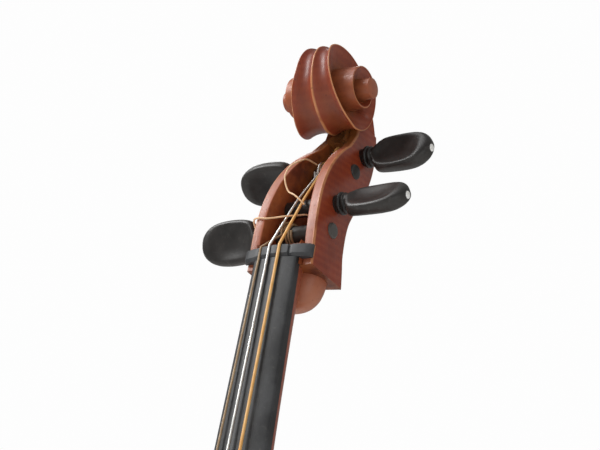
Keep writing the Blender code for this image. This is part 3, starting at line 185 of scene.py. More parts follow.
def varnished_maple():
    """Red-brown varnish, faintly flamed, rubbed to light orange where points are marked worn."""
    n = Nodes("varnished_maple")
    pores = n.noise(n.stretched((900.0, 900.0, 60.0)), 1.0, 3.0)
    flame = n.wave(n.stretched((3.0, 3.0, 60.0)), 1.0, 5.0, 3.0, "Z")
    patches = n.noise(n.coords, 34.0, 5.0, 0.62)
    broad = n.noise(n.coords, 11.0, 3.0)
    base = n.mix(n.spread(broad, 0.35, 0.68), (0.235, 0.031, 0.011), (0.325, 0.056, 0.020))
    base = n.mix(n.spread(flame, 0.2, 0.9, 0.0, 0.25), base, (0.400, 0.088, 0.030))
    base = n.mix(n.spread(patches, 0.50, 0.72, 0.0, 0.45), base, (0.120, 0.022, 0.012))
    base = n.mix(n.spread(pores, 0.55, 0.75, 0.0, 0.35), base, (0.070, 0.016, 0.010))
    # Painted shade: a darker varnish colour down in the scroll's flutes.
    base = n.mix(n.math("MULTIPLY", n.painted("flute_shade"), 0.55), base, (0.125, 0.022, 0.013))
    pale = n.math("MULTIPLY", n.painted("pale"), n.spread(patches, 0.25, 0.7, 1.0, 0.70))
    base = n.mix(pale, base, (0.430, 0.160, 0.088))
    # Painted shade and grime: a mottled near-black laid in the pegbox hollow, the throat, the feet of the
    # scroll's turns and the lower flutes.
    dark = n.painted("shade_and_grime")
    shade_and_grime_colour = n.mix(n.spread(patches, 0.35, 0.62), (0.420, 0.150, 0.034), (0.045, 0.017, 0.007))
    base = n.mix(dark, base, shade_and_grime_colour)
    breaks = n.spread(n.noise(n.coords, 75.0, 4.0), 0.30, 0.50, 0.35, 1.0)
    base = n.mix(n.math("MULTIPLY", n.painted("worn"), breaks), base, (0.620, 0.260, 0.110))
    nicks = n.noise(n.coords, 430.0, 2.0, 0.4)
    base = n.mix(n.spread(nicks, 0.70, 0.76, 0.0, 0.6), base, (0.050, 0.016, 0.010))
    scuffs = n.noise(n.coords, 210.0, 5.0, 0.7)
    rough = n.math("ADD", n.spread(scuffs, 0.35, 0.7, 0.32, 0.50), n.math("MULTIPLY", dark, 0.30))
    n.shader.inputs["Specular IOR Level"].default_value = 0.35
    n.shader.inputs["Coat Weight"].default_value = 0.12
    n.shader.inputs["Coat Roughness"].default_value = 0.18
    height = n.math("ADD", n.math("MULTIPLY", pores, 0.4), scuffs)
    return n.finish(base, rough, height, 0.12, 0.0006)


def varnished_spruce():
    """The belly: fine straight grain under the same varnish."""
    n = Nodes("varnished_spruce")
    grain = n.wave(n.stretched((1.0, 0.02, 0.004)), 330.0, 1.2, 2.0, "X")
    broad = n.noise(n.stretched((6.0, 6.0, 1.4)), 1.6, 4.0)
    base = n.mix(n.spread(broad, 0.32, 0.7), (0.330, 0.105, 0.032), (0.460, 0.175, 0.055))
    base = n.mix(n.spread(grain, 0.62, 0.95, 0.0, 0.42), base, (0.200, 0.055, 0.020))
    marks = n.noise(n.coords, 40.0, 6.0, 0.7)
    base = n.mix(n.spread(marks, 0.62, 0.74, 0.0, 0.5), base, (0.120, 0.036, 0.016))
    base = n.mix(n.painted("worn"), base, (0.610, 0.320, 0.140))
    n.shader.inputs["Coat Weight"].default_value = 0.25
    n.shader.inputs["Coat Roughness"].default_value = 0.18
    rough = n.spread(marks, 0.3, 0.7, 0.28, 0.44)
    return n.finish(base, rough, n.math("ADD", grain, marks), 0.08, 0.0005)


def bare_wood(name, pale, dark):
    """Unvarnished wood with long grain along Z."""
    n = Nodes(name)
    grain = n.noise(n.stretched((320.0, 320.0, 12.0)), 1.0, 4.0)
    cloud = n.noise(n.coords, 22.0, 4.0)
    base = n.mix(n.spread(grain, 0.35, 0.7), pale, dark)
    base = n.mix(n.spread(cloud, 0.45, 0.75, 0.0, 0.4), base, dark)
    return n.finish(base, n.spread(cloud, 0.3, 0.7, 0.5, 0.66), grain, 0.15, 0.0005)


def ebony(name, tone, shine):
    """Near-black hand-polished wood with a grey bloom, fine pores and rubbed patches."""
    n = Nodes(name)
    pores = n.noise(n.stretched((700.0, 700.0, 90.0)), 1.0, 3.0)
    bloom = n.noise(n.coords, 45.0, 5.0, 0.6)
    dust = n.noise(n.coords, 260.0, 5.0, 0.7)
    dark = tuple(0.62 * t for t in tone)
    light = tuple(1.5 * t for t in tone)
    base = n.mix(n.spread(bloom, 0.38, 0.68), dark, light)
    base = n.mix(n.spread(dust, 0.58, 0.75, 0.0, 0.35), base, (0.115, 0.105, 0.096))
    base = n.mix(n.painted("worn"), base, (0.150, 0.138, 0.125))
    n.shader.inputs["Specular IOR Level"].default_value = 0.42
    rough = n.spread(bloom, 0.3, 0.7, shine, shine + 0.16)
    height = n.math("ADD", n.math("MULTIPLY", pores, 0.6), dust)
    return n.finish(base, rough, height, 0.10, 0.0004)


def gut(name, tone, light):
    """Twisted gut: slanting ply marks and a slight gloss."""
    n = Nodes(name)
    ply = n.wave(n.stretched((1.0, 1.0, 1.0), (0.5, 0.3, 0.0)), 420.0, 1.5, 1.0, "Z")
    cloud = n.noise(n.coords, 90.0, 4.0)
    base = n.mix(n.spread(cloud, 0.3, 0.7), tone, light)
    base = n.mix(n.spread(ply, 0.6, 1.0, 0.0, 0.2), base, tuple(0.6 * t for t in tone))
    n.shader.inputs["Subsurface Weight"].default_value = 0.08
    n.shader.inputs["Subsurface Radius"].default_value = (0.002, 0.001, 0.0006)
    return n.finish(base, 0.38, ply, 0.2, 0.0002)


def metal(name, tone, rough, winding=0.0):
    """Metal with fine brushing, or with the close turns of a wound string."""
    n = Nodes(name)
    fine = n.noise(n.stretched((60.0, 60.0, 900.0)), 1.0, 3.0)
    stain = n.noise(n.coords, 38.0, 5.0, 0.6)
    base = n.mix(n.spread(stain, 0.45, 0.75, 0.0, 0.6), tone, tuple(0.55 * t for t in tone))
    n.shader.inputs["Metallic"].default_value = 1.0
    height = n.wave(n.coords, winding, 0.0, 0.0, "Z") if winding else fine
    return n.finish(base, n.spread(stain, 0.3, 0.7, rough, rough + 0.18), height, 0.25, 0.0002)


def pearl():
    """Mother-of-pearl with soft cloudy bands."""
    n = Nodes("pearl")
    cloud = n.noise(n.coords, 520.0, 4.0, 0.5, 1.2)
    base = n.mix(n.spread(cloud, 0.3, 0.7), (0.86, 0.84, 0.78), (0.93, 0.94, 0.95))
    n.shader.inputs["Coat Weight"].default_value = 0.7
    n.shader.inputs["Coat Roughness"].default_value = 0.08
    return n.finish(base, 0.24, cloud, 0.05, 0.0001)


def rubber():
    """Scuffed black rubber."""
    n = Nodes("rubber")
    speck = n.noise(n.coords, 600.0, 4.0, 0.7)
    dust = n.noise(n.coords, 60.0, 5.0)
    base = n.mix(n.spread(dust, 0.45, 0.7, 0.0, 0.7), (0.016, 0.016, 0.016), (0.075, 0.070, 0.064))
    return n.finish(base, n.spread(dust, 0.3, 0.7, 0.62, 0.85), speck, 0.4, 0.0003)


MAPLE = varnished_maple()
SPRUCE = varnished_spruce()
INSIDE_WOOD = bare_wood("inside_wood", (0.66, 0.49, 0.30), (0.45, 0.29, 0.15))
BRIDGE_WOOD = bare_wood("bridge_wood", (0.56, 0.37, 0.18), (0.36, 0.20, 0.085))
EBONY = ebony("ebony_pegs", (0.021, 0.019, 0.018), 0.30)
BOARD = ebony("ebony_board", (0.030, 0.031, 0.033), 0.36)
NUT_EBONY = ebony("ebony_nut", (0.050, 0.052, 0.056), 0.42)
GOLD_GUT = gut("gold_gut", (0.80, 0.40, 0.10), (0.92, 0.56, 0.22))
PALE_GUT = gut("pale_gut", (0.80, 0.48, 0.25), (0.92, 0.64, 0.40))
BROWN_GUT = gut("brown_gut", (0.30, 0.19, 0.10), (0.50, 0.35, 0.20))
SILVER_WIRE = metal("silver_wire", (0.78, 0.78, 0.76), 0.24, 900.0)
STEEL = metal("steel", (0.60, 0.61, 0.63), 0.25)
BRASS = metal("brass", (0.62, 0.44, 0.18), 0.30)
INLAY = bare_wood("inlay", (0.030, 0.020, 0.014), (0.012, 0.009, 0.007))
PEARL = pearl()
RUBBER = rubber()


# ---- mesh helpers -----------------------------------------------------------------------

def attach(obj, body):
    """Put a piece in the scene, on its body."""
    bpy.context.scene.collection.objects.link(obj)
    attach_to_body(obj, body)


def make_piece(name, verts, faces, mat, body, nodes=(), marks=None, angle=40.0):
    """A smooth-shaded piece that rides on a body and stands for some model nodes."""
    mesh = bpy.data.meshes.new(name)
    mesh.from_pydata([tuple(p) for p in verts], [], faces)
    for key, values in (marks or {}).items():
        layer = mesh.attributes.new(key, "FLOAT", "POINT")
        layer.data.foreach_set("value", values)
    work = bmesh.new()
    work.from_mesh(mesh)
    bmesh.ops.remove_doubles(work, verts=work.verts, dist=0.00001)
    bmesh.ops.recalc_face_normals(work, faces=work.faces)
    work.to_mesh(mesh)
    work.free()
    mesh.materials.append(mat)
    mesh.shade_smooth()
    mesh.set_sharp_from_angle(angle=math.radians(angle))
    obj = bpy.data.objects.new(name, mesh)
    attach(obj, body)
    if nodes:
        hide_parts(*nodes)


def skin(sections):
    """Points and faces that join a row of equal-length loops and close both its ends."""
    count = len(sections[0])
    faces = []
    for a in range(0, (len(sections) - 1) * count, count):
        b = a + count
        for j in range(count):
            k = (j + 1) % count
            faces.append((a + j, a + k, b + k, b + j))
    faces.append(tuple(range(count)))
    end = (len(sections) - 1) * count
    faces.append(tuple(range(end, end + count)))
    return [p for loop in sections for p in loop], faces


def smooth(rows, steps):
    """Catmull-Rom through rows of numbers, steps per span."""
    pts = [tuple(2.0 * a - b for a, b in zip(rows[0], rows[1]))] + [tuple(r) for r in rows]
    pts.append(tuple(2.0 * a - b for a, b in zip(rows[-1], rows[-2])))
    out = []
    for i in range(1, len(pts) - 2):
        for k in range(steps):
            t = k / steps
            out.append(tuple(0.5 * (2.0 * b + (c - a) * t + (2.0 * a - 5.0 * b + 4.0 * c - d) * t * t
                                    + (3.0 * b - a - 3.0 * c + d) * t * t * t)
                             for a, b, c, d in zip(pts[i - 1], pts[i], pts[i + 1], pts[i + 2])))
    out.append(tuple(rows[-1]))
    return out


def lookup(rows, key):
    """Linear reading of the other columns at a value of the first, which rises."""
    if key <= rows[0][0]:
        return rows[0][1:]
    for a, b in zip(rows[:-1], rows[1:]):
        if a[0] <= key <= b[0]:
            share = (key - a[0]) / (b[0] - a[0]) if b[0] > a[0] else 0.0
            return tuple(p + (q - p) * share for p, q in zip(a[1:], b[1:]))
    return rows[-1][1:]


def signed_power(value, power):
    """A number's size raised to a power, with its own sign."""
    return math.copysign(abs(value) ** power, value)


def ring(centre, right, up, radius, count):
    """A circle of points."""
    return [centre + right * (radius * math.cos(2.0 * math.pi * i / count))
            + up * (radius * math.sin(2.0 * math.pi * i / count)) for i in range(count)]


def tube_loops(path, radius, sides):
    """Circles that follow a path."""
    loops = []
    side = (path[1] - path[0]).orthogonal().normalized()
    for i, point in enumerate(path):
        ahead = (path[min(i + 1, len(path) - 1)] - path[max(i - 1, 0)]).normalized()
        side = (side - ahead * side.dot(ahead)).normalized()
        loops.append(ring(point, side, ahead.cross(side), radius, sides))
    return loops


# ---- head -------------------------------------------------------------------------------

def cheek_half(u):
    """Half width of the pegbox."""
    t = u / PEGBOX_LENGTH
    return 0.5 * (FOOT_WIDTH + (THROAT_WIDTH - FOOT_WIDTH) * t + CHEEK_BULGE * t * (1.0 - t))


def front_edge(u):
    """v of the cheeks' front edge: a cubic up to the throat, then straight."""
    t = min(u, THROAT_START) / 0.1
    return 0.011 * t - 0.0089 * t ** 2 - 0.0328 * t ** 3 - THROAT_SLOPE * max(0.0, u - THROAT_START)


# The head's rear outline as (u, v).
BACK_LINE = smooth((
    (-0.0038, -0.0388), (0.008, -0.0368), (0.0167, -0.0352), (0.0289, -0.0355), (0.0391, -0.0371),
    (0.048, -0.0404), (0.065, -0.0500), (0.082, -0.0595), (0.0932, -0.0645), (0.104, -0.0681),
    (0.1135, -0.0700), (0.1224, -0.0706), (0.130, -0.0688)), 4)

# The scroll's carved edge, turn by turn: degrees from the front (180 is the back, 90 the top),
# radius about the eye, half width. It is kept from its inner end outward.
SPIRAL = smooth((
    (204, 0.0530, 0.0127), (192, 0.0462, 0.0121), (180, 0.0408, 0.0117), (168, 0.0372, 0.0112),
    (150, 0.0353, 0.0107), (130, 0.0343, 0.0101), (108, 0.0335, 0.0096), (85, 0.0336, 0.0094),
    (65, 0.0340, 0.0096), (48, 0.0338, 0.0102), (32, 0.0312, 0.0117), (14, 0.0273, 0.0132),
    (-6, 0.0248, 0.0153), (-26, 0.0232, 0.0170), (-46, 0.0224, 0.0184), (-64, 0.0229, 0.0196),
    (-83, 0.0245, 0.0210), (-101, 0.0270, 0.0218), (-120, 0.0276, 0.0223), (-140, 0.0262, 0.0226),
    (-160, 0.0241, 0.0230), (-180, 0.0222, 0.0236), (-225, 0.0195, 0.0250), (-270, 0.0172, 0.0260),
    (-315, 0.0161, 0.0264), (-360, 0.0152, 0.0267), (-405, 0.0144, 0.0269), (-450, 0.0135, 0.0271),
    (-500, 0.0118, 0.0273), (-546, 0.0095, 0.0275)), 4)[::-1]
SPIRAL_START = SPIRAL[-1][0]
SPIRAL_END = SPIRAL[0][0]
STEPS_PER_TURN = 120
STEP = 360.0 / STEPS_PER_TURN
EDGE_STEPS = int(round((SPIRAL_START - SPIRAL_END) / STEP))


def scroll_point(degrees, radius, x):
    """World place in polar directions about the scroll's eye."""
    angle = math.radians(degrees)
    return head(x, EYE_U + radius * math.sin(angle), EYE_V + radius * math.cos(angle))


class Skin:
    """Points, faces and painted marks of one growing mesh."""

    def __init__(self):
        self.verts = []
        self.faces = []
        self.marks = {"worn": [], "shade_and_grime": [], "pale": [], "flute_shade": []}

    def add(self, point, worn=0.0, shade_and_grime=0.0, pale=0.0, flute_shade=0.0):
        self.verts.append(point)
        for key, value in (("worn", worn), ("shade_and_grime", shade_and_grime), ("pale", pale), ("flute_shade", flute_shade)):
            self.marks[key].append(value)
        return len(self.verts) - 1

    def rows(self, first, second):
        for a, b, c, d in zip(first[:-1], first[1:], second[1:], second[:-1]):
            self.faces.append((a, b, c, d))


def edge_at(degrees):
    """Radius and half width of the carved edge, or of the round eye past the edge's end."""
    return lookup(SPIRAL, degrees) if degrees >= SPIRAL_END - 0.01 else (EYE_RADIUS, EYE_HALF - 0.0007)


def add_outside(mesh):
    """Rows of points across the scroll's outside: two flutes with a ridge between them."""
    shares = (-0.985, -0.95, -0.86, -0.74, -0.60, -0.45, -0.30, -0.17, -0.07, -0.022, 0.0)
    shares += tuple(-share for share in shares[-2::-1])
    flute_depth = 0.0029
    rows = []
    for i in range(STEPS_PER_TURN + 1):
        angle = SPIRAL_START - i * STEP
        radius, wide = edge_at(angle)
        fade = min(1.0, max(0.0, (angle + 175.0) / 60.0))
        under = max(0.0, min(1.0, (30.0 - angle) / 100.0))
        row = []
        for share in shares:
            inside = abs(share)
            across = min(1.0, max(0.0, (inside - 0.022) / 0.928))
            dip = flute_depth * (1.0 - abs(2.0 * across - 1.0) ** 2.2) * fade
            worn = 1.0 if inside < 0.03 or inside > 0.98 else 0.0
            # The dip gives the flutes painted shade, darkest down their middles; on the lower turns it
            # also brings painted shade and grime.
            flute_shade = min(1.0, dip / flute_depth)
            place = scroll_point(angle, radius - dip, share * wide)
            row.append(mesh.add(place, worn, 0.22 * under * flute_shade, 0.0, flute_shade))
        rows.append(row)
    return rows


def face_row(mesh, angle, side, outside_point):
    """Points from the carved edge down into the turn's face, to the foot of the next turn."""
    radius, wide = edge_at(angle)
    inner_radius, inner_wide = edge_at(angle - 360.0)
    floor = wide - 0.0035 if wide > 0.0228 else min(0.64 * wide + 0.0005, 0.7 * inner_wide)
    foot = min(inner_radius + 0.0008, radius - 0.0012)
    if outside_point is None:
        outside_point = mesh.add(scroll_point(angle, radius, side * wide), 0.25)
    row = [outside_point,
           mesh.add(scroll_point(angle, radius - 0.0004, side * (wide + 0.0002)), 1.0),
           mesh.add(scroll_point(angle, radius - 0.0010, side * (wide + 0.0001)), 0.0)]
    for share in (0.12, 0.28, 0.45, 0.62, 0.80, 1.0):
        fall = math.sin(0.5 * math.pi * share) ** 1.2
        place = scroll_point(angle, radius - 0.0010 + (foot - radius + 0.0010) * share,
                             side * (wide + (floor - wide) * fall))
        # Toward the foot of the next turn the face gets painted shade and grime; near its edge it is
        # rubbed pale.
        row.append(mesh.add(place, 0.0, 0.65 * share ** 3, 0.25 * (1.0 - share)))
    return row


def add_side(mesh, side, outside):
    """One side of the scroll: the stepped faces of its turns, then the round eye."""
    rows = []
    for i in range(EDGE_STEPS + 1):
        edge_point = outside[i][-1 if side > 0 else 0] if i <= STEPS_PER_TURN else None
        rows.append(face_row(mesh, SPIRAL_START - i * STEP, side, edge_point))
    rim = []
    for i in range(EDGE_STEPS + 1, EDGE_STEPS + STEPS_PER_TURN + 1):
        angle = SPIRAL_START - i * STEP
        radius, wide = edge_at(angle)
        rim.append(mesh.add(scroll_point(angle, radius, side * wide), 0.15, 0.0, 0.3))
    outer_points = [row[0] for row in rows] + rim
    for i in range(EDGE_STEPS):
        mesh.rows(rows[i], rows[i + 1])
        below = i + STEPS_PER_TURN
        mesh.faces.append((rows[i][-1], rows[i + 1][-1], outer_points[below + 1], outer_points[below]))
    mesh.faces.append((*rows[-1], rim[-1], rim[0]))
    cap = []
    for i in range(EDGE_STEPS + 1, EDGE_STEPS + STEPS_PER_TURN + 1):
        place = scroll_point(SPIRAL_START - i * STEP, 0.82 * EYE_RADIUS, side * EYE_HALF)
        cap.append(mesh.add(place, 0.1, 0.0, 0.6))
    centre = mesh.add(scroll_point(0.0, 0.0, side * EYE_HALF), 0.0, 0.0, 0.6)
    for k in range(STEPS_PER_TURN):
        m = (k + 1) % STEPS_PER_TURN
        mesh.faces.append((rim[k], rim[m], cap[m], cap[k]))
        mesh.faces.append((cap[k], cap[m], centre))
    return rows[0]


def add_scroll(mesh):
    """The volute: fluted ridges outside, stepped turns and a round eye each side."""
    outside = add_outside(mesh)
    right = add_side(mesh, 1, outside)
    left = add_side(mesh, -1, outside)
    for a, b in zip(outside[:-1], outside[1:]):
        mesh.rows(a, b)
    mesh.faces.append((*outside[0], *right[1:], *outside[-1][::-1], *left[:0:-1]))


def add_loft(mesh, sections):
    """Append lofted sections; each point is its place and its worn mark, its painted shade and grime, and
    its pale mark.
    """
    rows = [[mesh.add(*point) for point in loop] for loop in sections]
    for a, b in zip(rows[:-1], rows[1:]):
        mesh.rows(a + a[:1], b + b[:1])
    mesh.faces.append(tuple(rows[0]))
    mesh.faces.append(tuple(rows[-1]))


def pegbox_section(u, front, back, half, inner, floor):
    """One slice of the pegbox: outer faces, thin rubbed edges, and a hollow painted with shade and grime.
    """
    edge = 0.0009
    # Painted shade and grime: the hollow darkens toward the scroll, and the front faces darken where they
    # run under the scroll into the throat.
    shade_and_grime = min(1.0, max(0.40, (u - 0.02) / 0.07))
    throat = min(1.0, max(0.0, (u - 0.094) / 0.014))
    pale = 0.65 * (1.0 - throat)
    throat_shade_and_grime = 0.85 * throat
    # Each point is x, v and its worn mark, its painted shade and grime, and its pale mark.
    right = [(half, front - edge - 0.0010, 0.0, 0.0, 0.0),
             (half - 0.0002, front - edge, 0.8, 0.0, 0.0),
             (half - edge, front, 0.8, 0.5 * throat_shade_and_grime, 0.3 * pale),
             (half - edge - 0.0009, front, 0.0, throat_shade_and_grime, pale),
             (0.5 * (half + inner), front + 0.0001, 0.0, throat_shade_and_grime, pale),
             (inner + 0.0012, front, 0.0, throat_shade_and_grime, pale),
             (inner + 0.0005, front - 0.0002, 0.3, throat_shade_and_grime, 0.0),
             (inner, front - 0.0010, 0.0, 0.5, 0.0),
             (inner, 0.5 * (front + floor), 0.0, 0.9 * shade_and_grime, 0.0),
             (inner - 0.0004, floor + 0.004, 0.0, shade_and_grime, 0.0),
             (inner - 0.004, floor, 0.0, shade_and_grime, 0.0)]
    left = [(-x, v, worn, shade_and_dirt, light) for x, v, worn, shade_and_dirt, light in right[::-1]]
    behind = [(half, 0.6 * front + 0.4 * back, 0.0, 0.0, 0.0),
              (half, back + edge + 0.0010, 0.0, 0.0, 0.0),
              (half - 0.0002, back + edge, 0.5, 0.0, 0.0),
              (half - edge, back, 0.5, 0.0, 0.0),
              (half - edge - 0.0008, back + 0.0004, 0.0, 0.0, 0.0),
              (0.55 * half, back + 0.0022, 0.0, 0.1, 0.0),
              (0.09 * half, back + 0.0004, 0.0, 0.0, 0.0),
              (0.04 * half, back + 0.0001, 0.5, 0.0, 0.0)]
    rear = [(-x, v, worn, shade_and_dirt, light) for x, v, worn, shade_and_dirt, light in behind] + behind[::-1]
    return [(head(x, u, v), worn, shade_and_dirt, light) for x, v, worn, shade_and_dirt, light in right + left + rear]


def add_pegbox(mesh):
    """Cheeks, floor, shoulders and the way up into the throat."""
    seat = NUT_LENGTH + GAP
    hollow = [0.0125 + 0.0035 * i for i in range(29)]
    below = [-0.0038, 0.0, seat, seat + 0.0002, hollow[0] - 0.0003]
    above = [hollow[-1] + 0.0012, 0.1175, 0.1215, 0.1255, 0.1290]
    sections = []
    for u in below + hollow + above:
        half = cheek_half(min(u, 0.119))
        back = lookup(BACK_LINE, u)[0]
        front = max(front_edge(u), -0.0450) if u > seat else 0.0
        inner = half - CHEEK_THICKNESS
        if u < hollow[0] or u > hollow[-1]:
            floor = front - 0.0009
        else:
            floor = max(back + 0.0062, -0.0625) + 0.55 * max(0.0, u - THROAT_START)
            floor = min(floor, front - 0.001)
        sections.append(pegbox_section(u, front, back, half, inner, floor))
    # The underside is painted with shade and grime; a slice of its own, just under the first, keeps that
    # off the cheeks.
    underside = [(place - ALONG * 0.00004, 0.0, 0.62, 0.1) for place, _, _, _ in sections[0]]
    add_loft(mesh, [underside] + sections)


def add_chin(mesh):
    """The rounded foot of the pegbox behind the neck, rubbed pale by the hand."""
    low = -0.0250
    high = 0.012
    rows = 20
    count = 28
    sections = []
    for i in range(rows + 1):
        share = 0.003 + 0.997 * (i / rows) ** 2.0
        u = low + (high - low) * share
        bulge = (1.0 - (1.0 - share) ** 3.6) ** 0.40
        loop = []
        for k in range(count):
            t = 2.0 * math.pi * k / count
            x = 0.0208 * bulge * signed_power(math.cos(t), 0.8)
            reach = 0.0150 if math.sin(t) > 0.0 else 0.0130
            v = -0.0225 - reach * bulge * signed_power(math.sin(t), 0.8)
            loop.append((head(x, u, v), 0.04, 0.0, 0.9 * (1.0 - share) + 0.3))
        sections.append(loop)
    add_loft(mesh, sections)


def neck_loop(s, depth, narrowing, pale):
    """One slice of the neck at distance s below the nut."""
    half = BOARD_HALF_NUT + BOARD_SPREAD * s - narrowing
    # The edges along the fingerboard get a little painted shade and grime.
    loop = [(head(half, -s, 0.0), 0.0, 0.2, pale)]
    for k in range(25):
        t = math.pi * k / 24.0
        x = half * signed_power(math.cos(t), 1.2)
        v = -0.0015 - (depth - 0.0015) * math.sin(t) ** 1.2
        loop.append((head(x, -s, v), 0.0, 0.0, pale))
    loop.append((head(-half, -s, 0.0), 0.0, 0.2, pale))
    return loop


def heel_loop(z, rear, low_half):
    """A level slice of the heel."""
    s = (NUT_POINT.z - z) / math.cos(NECK_TILT)
    wide = BOARD_HALF_NUT + BOARD_SPREAD * s
    front = head(0.0, -s, 0.0).y
    # The edges along the fingerboard get a little painted shade and grime.
    loop = [(Vector((wide, front, z)), 0.0, 0.2, 0.0)]
    for k in range(25):
        t = math.pi * k / 24.0
        reach = math.sin(t) ** 0.75
        half = wide + (low_half - wide) * min(1.0, reach * 0.9)
        x = signed_power(math.cos(t), 0.45) * half
        y = front + 0.0035 + (rear - front - 0.0035) * reach
        loop.append((Vector((x, y, z)), 0.0, 0.0, 0.1))
    loop.append((Vector((-wide, front, z)), 0.0, 0.2, 0.0))
    return loop


def add_neck(mesh):
    """Handle and heel."""
    # Each slice: distance below the nut, depth, narrowing and how pale.
    slices = smooth(((-0.006, 0.0205, 0.0010, 0.30), (0.012, 0.0190, 0.0016, 0.30),
                     (0.050, 0.0185, 0.0020, 0.25), (0.120, 0.0190, 0.0020, 0.25),
                     (0.190, 0.0210, 0.0012, 0.25), (0.222, 0.0240, 0.0004, 0.20)), 4)
    sections = [neck_loop(*row) for row in slices]
    # Each level: height, y of the rear, half width at the rear.
    foot = BODY_TOP - OVERHANG - 0.0085
    rear = REAR - 0.0008
    heel = smooth(((BODY_TOP + 0.040, 0.0020, 0.0150), (BODY_TOP + 0.026, 0.0260, 0.0140),
                   (BODY_TOP + 0.012, 0.0470, 0.0138), (BODY_TOP + 0.001, rear, 0.0146)), 4)
    sections += [heel_loop(*row) for row in heel] + [heel_loop(foot, rear, 0.0146)]
    add_loft(mesh, sections)


def make_head():
    """Neck, pegbox and scroll as one carved piece of maple."""
    mesh = Skin()
    add_neck(mesh)
    add_chin(mesh)
    add_pegbox(mesh)
    add_scroll(mesh)
    make_piece("carved_head", mesh.verts, mesh.faces, MAPLE, "instrument", ["neck_and_scroll"],
               mesh.marks, 38.0)


# ---- pegs -------------------------------------------------------------------------------

def peg_radius(outward, u):
    """Radius of a tapered peg shaft, measured toward its handle from the middle plane."""
    wide = cheek_half(u)
    share = (outward + wide) / (2.0 * wide)
    return PEG_RADIUS_SMALL + (PEG_RADIUS_BIG - PEG_RADIUS_SMALL) * share


def peg_profile(wide, small, big):
    """Turned shaft and collar as (distance out from the middle plane, radius)."""
    return [(-wide - 0.0016, small - 0.0014), (-wide - 0.0014, small - 0.0005), (-wide - 0.0008, small),
            (wide + 0.0028, big), (wide + 0.0030, 0.0072), (wide + 0.0036, 0.0077),
            (wide + 0.0046, 0.0078), (wide + 0.0053, 0.0073), (wide + 0.0056, 0.0064),
            (wide + 0.0064, 0.0070), (wide + 0.0074, 0.0071), (wide + 0.0080, 0.0064),
            (wide + 0.0090, 0.0062)]


# Peg wings: distance out from the cheek, half width, half thickness at the rim and in the dish.
WING = smooth(((0.0104, 0.0078, 0.0068, 0.0064), (0.0122, 0.0112, 0.0070, 0.0056),
               (0.0150, 0.0136, 0.0070, 0.0042), (0.0195, 0.0149, 0.0068, 0.0031),
               (0.0260, 0.0155, 0.0068, 0.0026), (0.0330, 0.0155, 0.0071, 0.0030),
               (0.0400, 0.0146, 0.0075, 0.0045), (0.0455, 0.0125, 0.0074, 0.0062),
               (0.0498, 0.0092, 0.0060, 0.0056), (0.0522, 0.0056, 0.0042, 0.0040),
               (0.0528, 0.0030, 0.0026, 0.0026)), 4)


def make_peg(label, u, v, side, turn):
    """Turned shaft and collar, and a dished wing with a rounded rim."""
    wide = cheek_half(u)
    centre = head(0.0, u, v)
    axis = Vector((side, 0.0, 0.0))
    across = ALONG * math.cos(math.radians(turn)) + OUT * math.sin(math.radians(turn))
    thick = axis.cross(across)
    count = 40
    loops = []
    worn = []
    # The sawn end of the lowest peg's shaft is rubbed the most.
    end_wear = 0.45 if label == "c" else 0.05
    for out, radius in peg_profile(wide, peg_radius(-wide, u), peg_radius(wide, u)):
        loops.append(ring(centre + axis * out, across, thick, radius, count))
        worn += [end_wear if out < -wide else 0.0] * count
    for out, half, rim, dish in WING:
        loop = []
        for k in range(count):
            t = 2.0 * math.pi * k / count
            c = math.cos(t)
            depth = dish + (rim - dish) * min(1.0, abs(c) * 1.15) ** 2.6
            rise = depth * signed_power(math.sin(t), 0.62)
            loop.append(centre + axis * (wide + out) + across * (half * c) + thick * rise)
            worn.append(0.12 * abs(c) ** 6)
        loops.append(loop)
    verts, faces = skin(loops)
    make_piece(f"fine_peg_{label}", verts, faces, EBONY, f"{label}_peg", [f"peg_{label}"],
               {"worn": worn}, 50.0)


def make_pip(label, u, v, side):
    """A low pearl dome let into the end of a peg."""
    axis = Vector((side, 0.0, 0.0))
    base = head(0.0, u, v) + axis * (cheek_half(u) + 0.0521)
    rows = ((0.0, 0.0027), (0.0007, 0.0027), (0.0013, 0.0023), (0.0017, 0.0014), (0.0019, 0.0004))
    verts, faces = skin([ring(base + axis * d, ALONG, OUT, r, 24) for d, r in rows])
    make_piece(f"fine_pip_{label}", verts, faces, PEARL, f"{label}_peg", [f"pip_{label}"])


def make_board():
    """Fingerboard with an evenly rounded top and a hollow under its free end."""
    sections = []
    for i in range(25):
        s = GAP + (BOARD_LENGTH - GAP) * i / 24.0
        half = BOARD_HALF_NUT + BOARD_SPREAD * s
        edge = 0.0004
        loop = [head(half, -s, GAP), head(half, -s, BOARD_SIDE - edge), head(half - edge, -s, BOARD_SIDE)]
        for k in range(1, 30):
            x = (half - edge) * (1.0 - 2.0 * k / 30.0)
            rise = math.sqrt(BOARD_RADIUS ** 2 - x ** 2) - math.sqrt(BOARD_RADIUS ** 2 - half ** 2)
            loop.append(head(x, -s, BOARD_SIDE + rise))
        loop += [head(edge - half, -s, BOARD_SIDE), head(-half, -s, BOARD_SIDE - edge),
                 head(-half, -s, GAP)]
        hollow = 1.0 if s > 0.30 else 0.0
        inner = half - 0.006
        loop += [head(-inner, -s, GAP), head(-0.55 * inner, -s, GAP + 0.0042 * hollow),
                 head(0.0, -s, GAP + 0.0055 * hollow), head(0.55 * inner, -s, GAP + 0.0042 * hollow),
                 head(inner, -s, GAP)]
        sections.append(loop)
    verts, faces = skin(sections)
    make_piece("fine_fingerboard", verts, faces, BOARD, "instrument", ["fingerboard"], angle=30.0)


